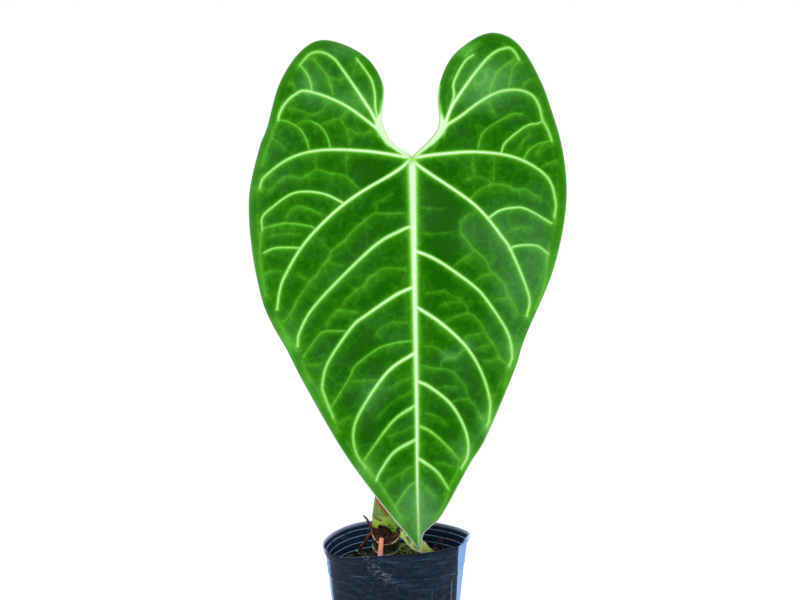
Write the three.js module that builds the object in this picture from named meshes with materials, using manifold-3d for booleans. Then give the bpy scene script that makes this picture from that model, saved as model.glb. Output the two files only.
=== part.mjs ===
// A potted anthurium regale: one large heart-shaped leaf on a short stem, in a soft nursery pot.
// Millimetres, +Z up, +X to the right and +Y away from a viewer in front. The origin is the
// middle of the pot's underside.
import * as THREE from 'three';
import { mergeVertices } from 'three/addons/utils/BufferGeometryUtils.js';
import { ConvexHull } from 'three/addons/math/ConvexHull.js';
import Module from 'manifold-3d';

const wasm = await Module();
wasm.setup();

// Gap kept between pieces that touch.
const CLEAR = 0.3;

// Pot: thin soft plastic, 120 mm over the rim, with a ringed band under the rim.
const RIM_RADIUS = 60;
const POT_HEIGHT = 100;
const TAPER = 0.133;
const WALL = 1;
const FLOOR = 1.4;
const LIP = 1.6;
const LIP_HEIGHT = 2;
const BAND_HEIGHT = 17;
const BAND_STEP = 0.9;
const RING_COUNT = 5;
const RING_RELIEF = 0.7;
const POT_SIDES = 40;
const DRAIN = { count: 8, radius: 4, circle: 31, sides: 10 };

// How the soft pot has gone out of round: the rim is squeezed across and dips to the left.
const SQUEEZE = 2.5;
const WOBBLE = 1;
const RIM_DIP = 4.7;
const RIM_WARP = 2.2;
const STIFF_BELOW = 15;

// Potting mix: level, roughness of its crumbs, and the perlite grains in it.
const SOIL_LEVEL = 79;
const SOIL_TILT = 0.08;
const CRUMB = 1.3;
const PERLITE = { count: 16, size: 1.9 };

// Moss cushion behind the stem.
const MOSS = { x: 4, y: 37, across: 15, deep: 12, high: 7 };

// Stem: its axis, and the slanting scar at its top, which looks forward and up.
const STEM = { x: -10, y: 5, radius: 10.8, foot: 64, top: 108, slant: 0.85, rim: 13.6 };

// Strands of the torn fibres in the scar.
const STRANDS = 14;

// Leaf stalk: points on its axis with the stalk's radius there.
const STALK = [
  { at: [-9.5, 8.5, 110.5], radius: 6 },
  { at: [-10.5, 8.5, 124], radius: 5.6 },
  { at: [-10.5, 10, 145], radius: 4.6 },
  { at: [-8.5, 13, 185], radius: 3.7 },
  { at: [-4.5, 16, 240], radius: 3.5 },
  { at: [2, 18, 305], radius: 3.4 },
  { at: [8, 18, 360], radius: 3.5 },
  { at: [11.2, 15, 388], radius: 4.2 },
  { at: [12.1, 9.5, 401], radius: 4.6 },
  { at: [12.1, 3, 407.5], radius: 4.4 },
  { at: [12.1, -2, 410], radius: 4.2 },
];

// Young sheath round the foot of the stalk: its outer radius at heights above the scar.
const SHEATH = {
  top: 152,
  lift: 5,
  radii: [[0, 11.3], [0.12, 11.4], [0.35, 9.6], [0.62, 7.6], [1, 5.3]],
};

// Blade: the leaf's measured view, its arch, waves, puckers and thickness.
const EYE = new THREE.Vector3(2.2, -1000, 371.7);
const EYE_PITCH = THREE.MathUtils.degToRad(4.16);
const SINUS = new THREE.Vector3(12.1, 0, 413.7);
const ARCH = { depth: 36, length: 438 };
const SIDE_FALL = { depth: 14, half: 130 };
const MARGIN = { fall: 2.5, wave: 2.4, reach: 11, along: 9.5, across: 25 };
const PUCKER = { height: 1.5, reach: 7 };
const BLADE = 0.8;
const MESH = { margin: 5.4, vein: 8, open: 11.5, clear: 4.2, jitter: 1.1 };

// Half width of a vein at its start and end, its rise on the face and its keel on the back.
const VEIN_KINDS = {
  midrib: { half: [2.1, 1], rise: 0.8, keel: 1.8 },
  rib: { half: [1.6, 0.9], rise: 0.55, keel: 1.1 },
  branch: { half: [1, 0.8], rise: 0.35, keel: 0.6 },
};

// Outline and veins as seen from EYE, in millimetres from the sinus where the stalk joins:
// across, then up. The left side runs from the sinus to the tip and the right side back.
const LEFT_SIDE = [
  [0, 1.5], [-17, 17.5], [-23, 26], [-24.5, 35.5], [-23, 56.5], [-33.5, 77.5], [-52.5, 90.5],
  [-74.5, 95], [-92, 84], [-107.5, 59], [-117, 25], [-123.5, 7.5], [-131.5, -30.5],
  [-129.5, -72.5], [-121.5, -113], [-113, -134], [-101, -155], [-88, -180.5], [-57.5, -234.5],
  [-25, -279], [0, -309], [5.5, -317],
];
const RIGHT_SIDE = [
  [5.5, -317], [8, -310.5], [8.5, -304], [14.5, -298.5], [25, -286.5], [46.5, -247.5],
  [60, -225], [82, -172], [91.5, -143.5], [113.5, -90.5], [124, -38.5], [121.5, 5],
  [109.5, 47], [100.5, 68.5], [90, 86.5], [79, 97], [66.5, 101], [55.5, 99], [43.5, 92],
  [32, 81.5], [24, 66], [20.5, 48.5], [21.5, 27.5], [14.5, 15.5], [0, 1.5],
];
const MIDRIB = [[0, 0], [3.5, -195], [4, -259.5], [5.5, -314.5]];
const LEFT_RIBS = [
  [[0, 0], [-10.5, 8.5], [-18.5, 16.5], [-54, 42.5], [-84, 54], [-95, 51], [-102.5, 44],
    [-107, 36], [-108, 30.5]],
  [[-18.5, 16.5], [-26.5, 25.5], [-35.5, 41], [-58, 74], [-65.5, 82], [-73.5, 85.5],
    [-82.5, 84], [-91, 75]],
  [[0, 0], [-35.5, 5.5], [-72.5, 6.5], [-98.5, 0], [-119, -15], [-123, -24.5]],
  [[0, 0], [-13.5, -11], [-43, -28.5], [-65.5, -46], [-87.5, -69.5], [-102.5, -94.5],
    [-107, -107.5], [-109, -122]],
  [[1, -54.5], [-9.5, -58.5], [-32.5, -72.5], [-76.5, -116.5], [-90.5, -139.5], [-92.5, -152]],
  [[2, -103.5], [-13.5, -110.5], [-37, -126.5], [-48.5, -136], [-67.5, -164], [-72.5, -182.5],
    [-70.5, -192], [-63.5, -210]],
  [[3, -156.5], [-19.5, -172], [-40.5, -202], [-47.5, -221], [-45, -238], [-37.5, -249.5]],
  [[3, -199], [-15.5, -212], [-36, -239.5], [-39, -245]],
  [[3.5, -226.5], [-14.5, -237], [-26, -253], [-29, -260]],
];
const RIGHT_RIBS = [
  [[0, 0], [14.5, 13], [25.5, 25], [38.5, 33.5], [53, 44.5], [66, 52], [77.5, 55], [88.5, 54.5],
    [97.5, 50], [102.5, 41], [105, 31], [109.5, 22.5], [112.5, 14]],
  [[25.5, 25], [34.5, 46], [60.5, 80.5], [76.5, 89], [83, 85], [86, 79.5]],
  [[0, 0], [20, 3], [53, 5], [84.5, 0], [108.5, -15], [115.5, -35], [114.5, -48]],
  [[0, 0], [7, -7.5], [49.5, -37], [72, -63], [81, -77.5], [94, -111], [92.5, -127.5]],
  [[1.5, -74.5], [14.5, -79.5], [27.5, -87], [49.5, -103], [60.5, -115], [76.5, -140],
    [80.5, -158.5], [78, -168]],
  [[2.5, -119.5], [22.5, -132.5], [43, -151.5], [55.5, -172], [62.5, -194.5], [62, -210],
    [60, -216.5]],
  [[3, -179.5], [15, -185], [32, -199.5], [43, -220], [45, -238], [39.5, -250]],
  [[3.5, -215.5], [15, -220.5], [29.5, -233.5], [40, -246]],
  [[4, -241.5], [19.5, -252.5], [29.5, -267]],
];
const BRANCHES = [
  [[-26.5, 25.5], [-29.5, 40], [-30.5, 54], [-34, 65], [-45, 80.5]],
  [[4, -261.5], [-3, -265], [-13.5, -280]],
  [[28, 33], [33.5, 50], [33.5, 61], [42, 77.5], [49.5, 83.5]],
  [[4, -261.5], [11.5, -265], [18.5, -271]],
  [[-54, -37], [-72.5, -28.5], [-95, -28], [-113.5, -40], [-121, -48], [-121, -58.5]],
  [[-76.5, -57.5], [-84, -54.5], [-98.5, -52.5], [-109.5, -53.5], [-120, -56.5]],
  [[-89, -72.5], [-104, -72], [-112.5, -73], [-120, -76.5]],
  [[-83, 5.5], [-85.5, 15], [-91, 24], [-100.5, 29.5], [-107.5, 31]],
  [[-65.5, 6.5], [-69, 18.5], [-74.5, 26], [-81, 29.5]],
  [[-81, 54], [-82, 61], [-85.5, 69], [-91, 75.5]],
  [[-51, -139.5], [-70.5, -139.5], [-77.5, -145.5], [-87.5, -159.5]],
  [[2.5, -147], [-13.5, -149], [-27.5, -153.5], [-45.5, -167], [-51, -177.5], [-65.5, -201]],
  [[60.5, -49], [70, -42.5], [81, -40], [92, -41], [112.5, -52.5]],
  [[78, -73.5], [83, -71], [92, -70], [101.5, -71], [109.5, -77]],
  [[71.5, 3.5], [75.5, 13], [92, 26], [101.5, 28], [105, 30.5]],
  [[52.5, 5], [55, 16.5], [60.5, 24], [79, 35], [88.5, 36]],
  [[89.5, -2], [94, 6.5], [103, 12], [112.5, 14]],
];

// Roots: points on the axis with the radius there. Each starts in the stem or in the mix.
const NEW_ROOT = [
  { at: [-13.4, -6.4, 104.6], radius: 2 },
  { at: [-13.7, -9, 101], radius: 2.1 },
  { at: [-14.2, -11.4, 95], radius: 2.2 },
  { at: [-14.8, -11.6, 84], radius: 2.2 },
  { at: [-15.2, -11.2, 66], radius: 1.8 },
];
const UPPER_ROOT = [
  { at: [-18, 6, 107.5], radius: 1.3 },
  { at: [-22.5, 4, 111], radius: 1.2 },
  { at: [-25, 3, 117], radius: 1 },
  { at: [-28, 2.5, 121], radius: 0.8 },
  { at: [-31, 2, 124.5], radius: 0.5 },
];
const LOWER_ROOT = [
  { at: [-17, 6, 104], radius: 1.5 },
  { at: [-23.5, 9, 104], radius: 1.4 },
  { at: [-27.5, 15, 98], radius: 1.3 },
  { at: [-31.5, 24, 90], radius: 1.2 },
  { at: [-32, 33, 83], radius: 1.1 },
  { at: [-30, 37, 70], radius: 0.9 },
];
const DRY_ROOT = [
  { at: [30.3, 37.5, 72], radius: 0.9 },
  { at: [30.8, 37.5, 83], radius: 0.9 },
  { at: [33.5, 35.5, 88], radius: 0.8 },
  { at: [37, 33.5, 93], radius: 0.7 },
  { at: [38, 32, 89], radius: 0.7 },
  { at: [38.8, 31, 84.5], radius: 0.6 },
  { at: [39, 31, 75], radius: 0.6 },
];
const ROOT_MESH = { sides: 8, steps: 12 };

// Old leaf that has sunk beside the stem: points on its middle line with its half width.
const OLD_LEAF = [
  { at: [-3, 9, 101.5], half: 1.4 },
  { at: [3, 12, 101.8], half: 3.4 },
  { at: [9, 15.5, 98.5], half: 6.2 },
  { at: [15, 19.5, 93.8], half: 7.2 },
  { at: [21.5, 24.5, 88.3], half: 6.2 },
  { at: [27, 29, 84], half: 3.6 },
  { at: [31, 32.5, 81.8], half: 0.9 },
];
const OLD_LEAF_FACE = new THREE.Vector3(-0.05, -0.72, 0.69);

const TO_VIEWER = new THREE.Vector3(0, -1, 0);

// The same draws every time.
function dice(seed) {
  let state = seed;
  return () => {
    state = (state * 1664525 + 1013904223) % 4294967296;
    return state / 4294967296;
  };
}

// A closed geometry from points and triangles, turned so that its faces point out.
function skin(points, faces) {
  let volume = 0;
  for (let i = 0; i < faces.length; i += 3) {
    const [a, b, c] = [points[faces[i]], points[faces[i + 1]], points[faces[i + 2]]];
    volume += a.dot(new THREE.Vector3().crossVectors(b, c));
  }
  const geometry = new THREE.BufferGeometry().setFromPoints(points);
  geometry.setIndex(volume > 0 ? faces : faces.slice().reverse());
  return geometry;
}

// A skin over a stack of rings. An open stack is closed with a middle point at each end, and a
// joined one runs from its last ring back to its first.
function loft(rings, joined = false) {
  const size = rings[0].length;
  const points = rings.flat();
  const faces = [];
  const bands = joined ? rings.length : rings.length - 1;
  for (let i = 0; i < bands; i += 1) {
    const here = i * size;
    const next = ((i + 1) % rings.length) * size;
    for (let j = 0; j < size; j += 1) {
      const k = (j + 1) % size;
      faces.push(here + j, here + k, next + k, here + j, next + k, next + j);
    }
  }
  if (!joined) {
    const ends = [[0, true], [rings.length - 1, false]];
    for (const [index, first] of ends) {
      const middle = new THREE.Vector3();
      rings[index].forEach((point) => middle.addScaledVector(point, 1 / size));
      points.push(middle);
      for (let j = 0; j < size; j += 1) {
        const [a, b] = [index * size + j, index * size + (j + 1) % size];
        faces.push(points.length - 1, first ? b : a, first ? a : b);
      }
    }
  }
  return skin(points, faces);
}

// A ring of points round the Z axis; place gives each point from its angle.
function ring(sides, place) {
  return Array.from({ length: sides }, (_, j) => place((j / sides) * 2 * Math.PI));
}

function smoothCurve(points) {
  return new THREE.CatmullRomCurve3(points, false, 'catmullrom', 0.5);
}

// Rings of a round or flattened tube along a list of stations. Each section stands square to the
// line. flat is its half thickness where it isn't round, and face is the way it then looks.
function tubeRings(stations, { sides, steps, grow = 0, face = TO_VIEWER, flat = 0 }) {
  const line = smoothCurve(stations.map(({ at }) => new THREE.Vector3(...at)));
  const widths = smoothCurve(stations.map(({ radius, half }) => new THREE.Vector3(radius ?? half, 0, 0)));
  const rings = [];
  for (let i = 0; i <= steps; i += 1) {
    const t = i / steps;
    const centre = line.getPoint(t);
    const along = line.getTangent(t);
    const side = new THREE.Vector3().crossVectors(along, face).normalize();
    const out = new THREE.Vector3().crossVectors(side, along).normalize();
    const wide = widths.getPoint(t).x + grow;
    const thick = flat > 0 ? flat + grow : wide;
    rings.push(ring(sides, (angle) => centre.clone()
      .addScaledVector(side, wide * Math.cos(angle))
      .addScaledVector(out, thick * Math.sin(angle))));
  }
  return rings;
}

const rootRings = (stations, grow = 0) => tubeRings(stations, { ...ROOT_MESH, grow });

function solid(geometry) {
  const bare = geometry.clone();
  bare.deleteAttribute('normal');
  bare.deleteAttribute('uv');
  const merged = mergeVertices(bare, 1e-4);
  const vertProperties = Float32Array.from(merged.attributes.position.array);
  const triVerts = Uint32Array.from(merged.index.array);
  return new wasm.Manifold(new wasm.Mesh({ numProp: 3, vertProperties, triVerts }));
}

function fromSolid(shape) {
  const { vertProperties, triVerts } = shape.getMesh();
  const geometry = new THREE.BufferGeometry();
  geometry.setAttribute('position', new THREE.BufferAttribute(vertProperties, 3));
  geometry.setIndex(new THREE.BufferAttribute(triVerts, 1));
  return geometry;
}

// The biggest body of a cut shape, without the crumbs that the cut left.
function mainBody(shape) {
  return shape.decompose().reduce((best, body) => (body.volume() > best.volume() ? body : best));
}

function cutClear(geometry, neighbours) {
  return neighbours.reduce((shape, other) => shape.subtract(solid(other)), solid(geometry));
}

// Where a point of the true round pot, or of anything inside it, lies in the soft one.
function inSoftPot(radius, angle, z) {
  const give = THREE.MathUtils.smoothstep(z, STIFF_BELOW, POT_HEIGHT);
  const push = WOBBLE * (Math.sin(3 * angle) - Math.cos(3 * angle)) - SQUEEZE * Math.sin(2 * angle);
  const lift = 1.5 + RIM_DIP * Math.cos(angle) - RIM_WARP * Math.sin(2 * angle + 0.63);
  const r = radius + give * push * (radius / RIM_RADIUS);
  return new THREE.Vector3(r * Math.cos(angle), r * Math.sin(angle), z + give * lift);
}

function wallRadius(z) {
  const straight = RIM_RADIUS - LIP - TAPER * (POT_HEIGHT - z);
  return z < POT_HEIGHT - BAND_HEIGHT ? straight - BAND_STEP : straight;
}

// The wall's outline from foot to rim: radius and height, with the rings of the band.
function wallProfile() {
  const bandFoot = POT_HEIGHT - BAND_HEIGHT;
  const pitch = (BAND_HEIGHT - LIP_HEIGHT - 1) / RING_COUNT;
  const heights = [3, 36, 64, bandFoot - 1.2, bandFoot];
  const profile = heights.map((z) => [wallRadius(z), z]);
  for (let i = 0; i < RING_COUNT; i += 1) {
    const crest = bandFoot + (i + 0.5) * pitch;
    profile.push([wallRadius(crest) + RING_RELIEF, crest]);
    profile.push([wallRadius(crest + pitch / 2), crest + pitch / 2]);
  }
  return profile;
}

function makePot() {
  const wall = wallProfile();
  const foot = wallRadius(0);
  const inner = wall.map(([r, z]) => [r - WALL, z]).reverse();
  const top = wallRadius(POT_HEIGHT);
  const outline = [
    [foot - 3, 0], [foot - 0.7, 0.7], ...wall,
    [top, POT_HEIGHT - LIP_HEIGHT], [RIM_RADIUS, POT_HEIGHT - LIP_HEIGHT + 0.4],
    [RIM_RADIUS, POT_HEIGHT - 0.3], [RIM_RADIUS - 0.6, POT_HEIGHT], [top - WALL, POT_HEIGHT - 0.2],
    ...inner, [foot - 2.4, FLOOR],
  ];
  const shell = loft(outline.map(([r, z]) => ring(POT_SIDES, (angle) => inSoftPot(r, angle, z))));
  const holes = Array.from({ length: DRAIN.count }, (_, i) => {
    const turn = ((i + 0.5) / DRAIN.count) * 2 * Math.PI;
    const hole = new THREE.CylinderGeometry(DRAIN.radius, DRAIN.radius, 4 * FLOOR, DRAIN.sides);
    hole.rotateX(Math.PI / 2);
    return hole.translate(DRAIN.circle * Math.cos(turn), DRAIN.circle * Math.sin(turn), 0);
  });
  return fromSolid(cutClear(shell, holes));
}

function stemRings(grow = 0) {
  const { x, y, radius, foot, top, slant, rim } = STEM;
  // Height, radius, and how far the ring slants to the front and to the side.
  const stations = [
    [foot, radius - 0.8, 0, 0], [80, radius - 0.2, 0, 0], [88, radius, 0, 0.25],
    [90.6, radius + 0.1, 0, 0.45], [91.7, radius + 1, 0, 0.45], [92.8, radius + 0.2, 0.1, 0.4],
    [100, radius + 0.6, slant * 0.55, 0.1], [top - 1.6, rim - 1, slant, 0], [top - 0.4, rim, slant, 0],
    [top + 0.4, rim - 0.3, slant, 0], [top - 0.8, rim - 1.4, slant, 0], [top - 2.2, rim - 4, slant, 0],
    [top - 2.6, rim - 9, slant, 0],
  ];
  return stations.map(([z, r, forward, sideways], i) => ring(20, (angle) => {
    const inside = i > 9;
    const wide = inside ? Math.max(r - grow, 1) : r + grow;
    const [dx, dy] = [wide * Math.cos(angle), wide * Math.sin(angle)];
    const rise = i > 7 ? grow : 0;
    return new THREE.Vector3(x + dx, y + dy, z + forward * dy + sideways * dx + rise);
  }));
}

// Height of the scar's slanting plane at a distance back.
const scarHeight = (y) => STEM.top + STEM.slant * (y - STEM.y);

function stalkRings(grow = 0) {
  const rings = tubeRings(STALK, { sides: 12, steps: 26, grow });
  // The foot is cut to the scar's slope.
  rings[0] = rings[0].map((p) => new THREE.Vector3(p.x, p.y, scarHeight(p.y) - 2.2 + CLEAR - grow));
  return rings;
}

// The sheath is a closed wall: up its outside, then down beside the stalk.
function sheathRings(grow = 0) {
  const sides = 20;
  const line = smoothCurve(STALK.map(({ at }) => new THREE.Vector3(...at)));
  const thickness = smoothCurve(STALK.map(({ radius }) => new THREE.Vector3(radius, 0, 0)));
  const spot = (z) => {
    for (let t = 0; t < 0.5; t += 0.002) {
      if (line.getPoint(t).z >= z) return t;
    }
    return 0.5;
  };
  const bottom = (angle, r, centre) => {
    const y = centre.y + r * Math.sin(angle);
    const front = Math.max(0, -Math.sin(angle));
    const lobes = 0.55 + 0.45 * Math.cos(4 * angle + 0.7);
    return scarHeight(y) + CLEAR + SHEATH.lift * front * lobes - grow;
  };
  const outer = SHEATH.radii.map(([part, r]) => ring(sides, (angle) => {
    const height = STEM.top + part * (SHEATH.top - STEM.top);
    const centre = line.getPoint(spot(height));
    const wide = r + grow;
    const low = bottom(angle, wide, centre);
    const z = low + part * (SHEATH.top + grow - low);
    return new THREE.Vector3(centre.x + wide * Math.cos(angle), centre.y + wide * Math.sin(angle), z);
  }));
  const inner = SHEATH.radii.map(([part, r]) => ring(sides, (angle) => {
    const height = STEM.top + part * (SHEATH.top - STEM.top);
    const t = spot(height);
    const centre = line.getPoint(t);
    const room = thickness.getPoint(t).x + 0.4 - grow;
    const hollow = Math.min(room, r - 0.4);
    const low = bottom(angle, hollow, centre) + 0.6;
    const z = low + part * (SHEATH.top - 0.2 - low);
    return new THREE.Vector3(centre.x + hollow * Math.cos(angle), centre.y + hollow * Math.sin(angle), z);
  }));
  return [...outer, ...inner.reverse()];
}

function makeSheath() {
  const wall = loft(sheathRings(), true);
  return fromSolid(mainBody(cutClear(wall, [loft(stalkRings(CLEAR)), loft(stemRings(CLEAR))])));
}

// Torn brown fibres that fill the scar: a shaggy plug with strands that hang over its edge.
function makeFibres() {
  const draw = dice(11);
  const slope = Math.atan(STEM.slant);
  const plug = new THREE.SphereGeometry(1, 12, 6);
  plug.scale(11.2, 13.2, 3.6);
  plug.rotateX(slope);
  plug.translate(STEM.x, STEM.y - 1.4, STEM.top + 0.2);
  let shape = solid(plug);
  for (let i = 0; i < STRANDS; i += 1) {
    const angle = Math.PI * (1.02 + 0.96 * ((i + 0.2 + 0.6 * draw()) / STRANDS));
    const reach = 6 + 5 * draw();
    const start = new THREE.Vector3(reach * Math.cos(angle), reach * Math.sin(angle), 0);
    start.z = STEM.slant * start.y + 1.8;
    const sweep = 2.5 + 3 * draw();
    const tip = start.clone().add(new THREE.Vector3(sweep * Math.cos(angle), sweep * Math.sin(angle), 0));
    tip.z += 1.2 + 3.2 * draw();
    const shift = new THREE.Vector3(STEM.x, STEM.y, STEM.top);
    const stations = [
      { at: start.clone().lerp(tip, -0.6).add(shift).toArray(), radius: 0.9 },
      { at: start.clone().add(shift).toArray(), radius: 0.8 },
      { at: tip.clone().add(shift).toArray(), radius: 0.35 },
    ];
    shape = shape.add(solid(loft(tubeRings(stations, { sides: 4, steps: 2 }))));
  }
  const roots = [NEW_ROOT, UPPER_ROOT, LOWER_ROOT].map((stations) => rootRings(stations, CLEAR));
  const lofted = [stemRings(CLEAR), stalkRings(CLEAR), ...roots].map((rings) => loft(rings));
  for (const other of [...lofted, loft(sheathRings(CLEAR), true)]) shape = shape.subtract(solid(other));
  return fromSolid(mainBody(shape));
}

function makeRoot(stations) {
  const neighbours = [loft(stemRings(CLEAR)), loft(sheathRings(CLEAR), true)];
  return fromSolid(mainBody(cutClear(loft(rootRings(stations)), neighbours)));
}

// The old leaf's sections; its edges roll back and wave a little.
function oldLeafRings(grow = 0) {
  const rings = tubeRings(OLD_LEAF, { sides: 10, steps: 14, face: OLD_LEAF_FACE, flat: 0.5, grow });
  rings.forEach((section, i) => section.forEach((point, j) => {
    const edge = Math.cos((j / section.length) * 2 * Math.PI);
    const curl = 1.5 * edge * edge + 0.7 * edge * Math.sin(i * 1.3);
    point.addScaledVector(OLD_LEAF_FACE, -curl * Math.sin((Math.PI * i) / (rings.length - 1)));
  }));
  return rings;
}

function makeOldLeaf() {
  const neighbours = [loft(stemRings(CLEAR)), loft(sheathRings(CLEAR), true)];
  return fromSolid(mainBody(cutClear(loft(oldLeafRings()), neighbours)));
}

// Room for the old leaf's tip, which lies on the mix.
const oldLeafTip = () => loft(oldLeafRings(2 * CLEAR).slice(-8));

// 1 on the moss and beside the stem, falling to 0 around them, where the mix is loose.
function underMoss(x, y) {
  const out = Math.hypot((x - MOSS.x) / MOSS.across, (y - MOSS.y) / MOSS.deep);
  return 1 - THREE.MathUtils.smoothstep(out, 1.05, 1.35);
}

function makePottingMix() {
  const draw = dice(5);
  const gap = WALL + CLEAR + 0.1;
  const edge = SOIL_LEVEL - 3;
  const side = [[wallRadius(4) - gap - 1.6, FLOOR + CLEAR], [wallRadius(5) - gap, 5],
    [wallRadius(36) - gap, 36], [wallRadius(64) - gap, 64], [wallRadius(edge) - gap, edge]];
  const rings = side.map(([r, z]) => ring(POT_SIDES, (angle) => inSoftPot(r, angle, z)));
  const rim = rings[rings.length - 1];
  for (let part = 0.95; part > 0.08; part -= 0.085) {
    rings.push(rim.map((point) => {
      const [x, y] = [point.x * part, point.y * part];
      const loose = CRUMB * (1 - underMoss(x, y));
      const tilt = (point.z - edge) * part * part * (1 - underMoss(x, y));
      const rise = SOIL_TILT * Math.max(0, x) * (1 - underMoss(x, y));
      return new THREE.Vector3(x, y, SOIL_LEVEL + rise + tilt + loose * (2 * draw() - 1));
    }));
  }
  let shape = solid(loft(rings));
  for (let i = 0; i < PERLITE.count; i += 1) {
    const angle = 2 * Math.PI * draw();
    const reach = 24 + 26 * Math.sqrt(draw());
    const [x, y] = [reach * Math.cos(angle), reach * Math.sin(angle)];
    const size = PERLITE.size * (0.6 + 0.8 * draw());
    if (underMoss(x, y) === 0) {
      const grain = new THREE.IcosahedronGeometry(size, 0).rotateX(draw() * 3).rotateZ(draw() * 3);
      const rest = SOIL_LEVEL + SOIL_TILT * Math.max(0, x) + 0.6;
      shape = shape.add(solid(grain.translate(x, y, rest)));
    }
  }
  const roots = [NEW_ROOT, LOWER_ROOT, DRY_ROOT].map((stations) => loft(rootRings(stations, CLEAR)));
  const holes = [loft(stemRings(CLEAR)), loft(mossRings(CLEAR)), oldLeafTip(), ...roots];
  for (const hole of holes) shape = shape.subtract(solid(hole));
  return fromSolid(mainBody(shape));
}

// A lumpy cushion with a flat underside.
function mossRings(grow = 0) {
  const draw = dice(23);
  const base = SOIL_LEVEL + CLEAR - grow;
  const steps = 7;
  return Array.from({ length: steps + 1 }, (_, i) => {
    const out = Math.cos((i / steps) * 0.5 * Math.PI * 0.93);
    const up = MOSS.high * Math.sin((i / steps) * 0.5 * Math.PI);
    return ring(22, (angle) => {
      const lump = 1 + 0.07 * Math.sin(5 * angle + 1) + 0.06 * (draw() - 0.5);
      const rise = up * (0.8 + 0.4 * draw());
      return new THREE.Vector3(
        MOSS.x + (MOSS.across * out * lump + grow) * Math.cos(angle),
        MOSS.y + (MOSS.deep * out * lump + grow) * Math.sin(angle),
        base + rise + (i > 0 ? 2 * grow : 0),
      );
    });
  });
}

function makeMoss() {
  return fromSolid(mainBody(cutClear(loft(mossRings()), [loft(stemRings(CLEAR)), oldLeafTip()])));
}

// A point of the measured view, moved along its sight line to the depth it has.
function onSightLine(across, up, depth) {
  const seen = SINUS.clone();
  seen.x += across;
  seen.y += up * Math.sin(EYE_PITCH);
  seen.z += up * Math.cos(EYE_PITCH);
  const reach = (depth - EYE.y) / (seen.y - EYE.y);
  return seen.sub(EYE).multiplyScalar(reach).add(EYE);
}

const flatCurve = (pairs) => smoothCurve(pairs.map(([x, y]) => new THREE.Vector3(x, y, 0)));

function sampled(pairs, spacing) {
  const curve = flatCurve(pairs);
  return curve.getSpacedPoints(Math.max(2, Math.round(curve.getLength() / spacing)));
}

function toSegment(x, y, { from, to }) {
  const [dx, dy] = [to.x - from.x, to.y - from.y];
  const t = THREE.MathUtils.clamp(((x - from.x) * dx + (y - from.y) * dy) / (dx * dx + dy * dy), 0, 1);
  return { distance: Math.hypot(x - from.x - t * dx, y - from.y - t * dy), t };
}

// Pairs of neighbouring points along a line.
const segmentsOf = (points) => points.slice(1).map((to, i) => ({ from: points[i], to }));

const OUTLINE = [LEFT_SIDE, RIGHT_SIDE].flatMap((side) => sampled(side, MESH.margin).slice(0, -1));
const MARGIN_LINE = segmentsOf([...OUTLINE, OUTLINE[0]]);
const toMargin = (x, y) => Math.min(...MARGIN_LINE.map((line) => toSegment(x, y, line).distance));

const vein = (kind) => (path) => ({ ...VEIN_KINDS[kind], points: sampled(path, MESH.vein) });
const VEINS = [
  vein('midrib')(MIDRIB),
  ...[...LEFT_RIBS, ...RIGHT_RIBS].map(vein('rib')),
  ...BRANCHES.map(vein('branch')),
];
const VEIN_LINES = VEINS.flatMap(({ half, rise, keel, points }) => segmentsOf(points).map((line, i) => {
  const widths = [i, i + 1].map((k) => THREE.MathUtils.lerp(half[0], half[1], k / (points.length - 1)));
  return { ...line, widths, rise, keel };
}));

function nearestVein(x, y) {
  const best = { distance: Infinity, rise: 0, keel: 0 };
  for (const line of VEIN_LINES) {
    const { distance, t } = toSegment(x, y, line);
    const slope = Math.max(0, 1 - distance / THREE.MathUtils.lerp(line.widths[0], line.widths[1], t));
    best.distance = Math.min(best.distance, distance);
    best.rise = Math.max(best.rise, slope * line.rise);
    best.keel = Math.max(best.keel, slope * line.keel);
  }
  return best;
}

// The blade's depth: a long arch, sides that fall back, a waved margin, and a lamina that puffs
// up between the veins.
function bladeAt(x, y) {
  const nearest = nearestVein(x, y);
  const rim = Math.exp(-toMargin(x, y) / MARGIN.reach);
  const arch = ARCH.depth * Math.sin((Math.PI * y) / ARCH.length);
  const fall = SIDE_FALL.depth * (x / SIDE_FALL.half) ** 2;
  const wave = rim * (MARGIN.fall + MARGIN.wave * Math.sin(y / MARGIN.along + x / MARGIN.across));
  const puff = PUCKER.height * (1 - Math.exp(-((nearest.distance / PUCKER.reach) ** 2))) * (1 - rim);
  return { middle: arch + fall + wave - puff, rise: nearest.rise, keel: nearest.keel };
}

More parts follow.
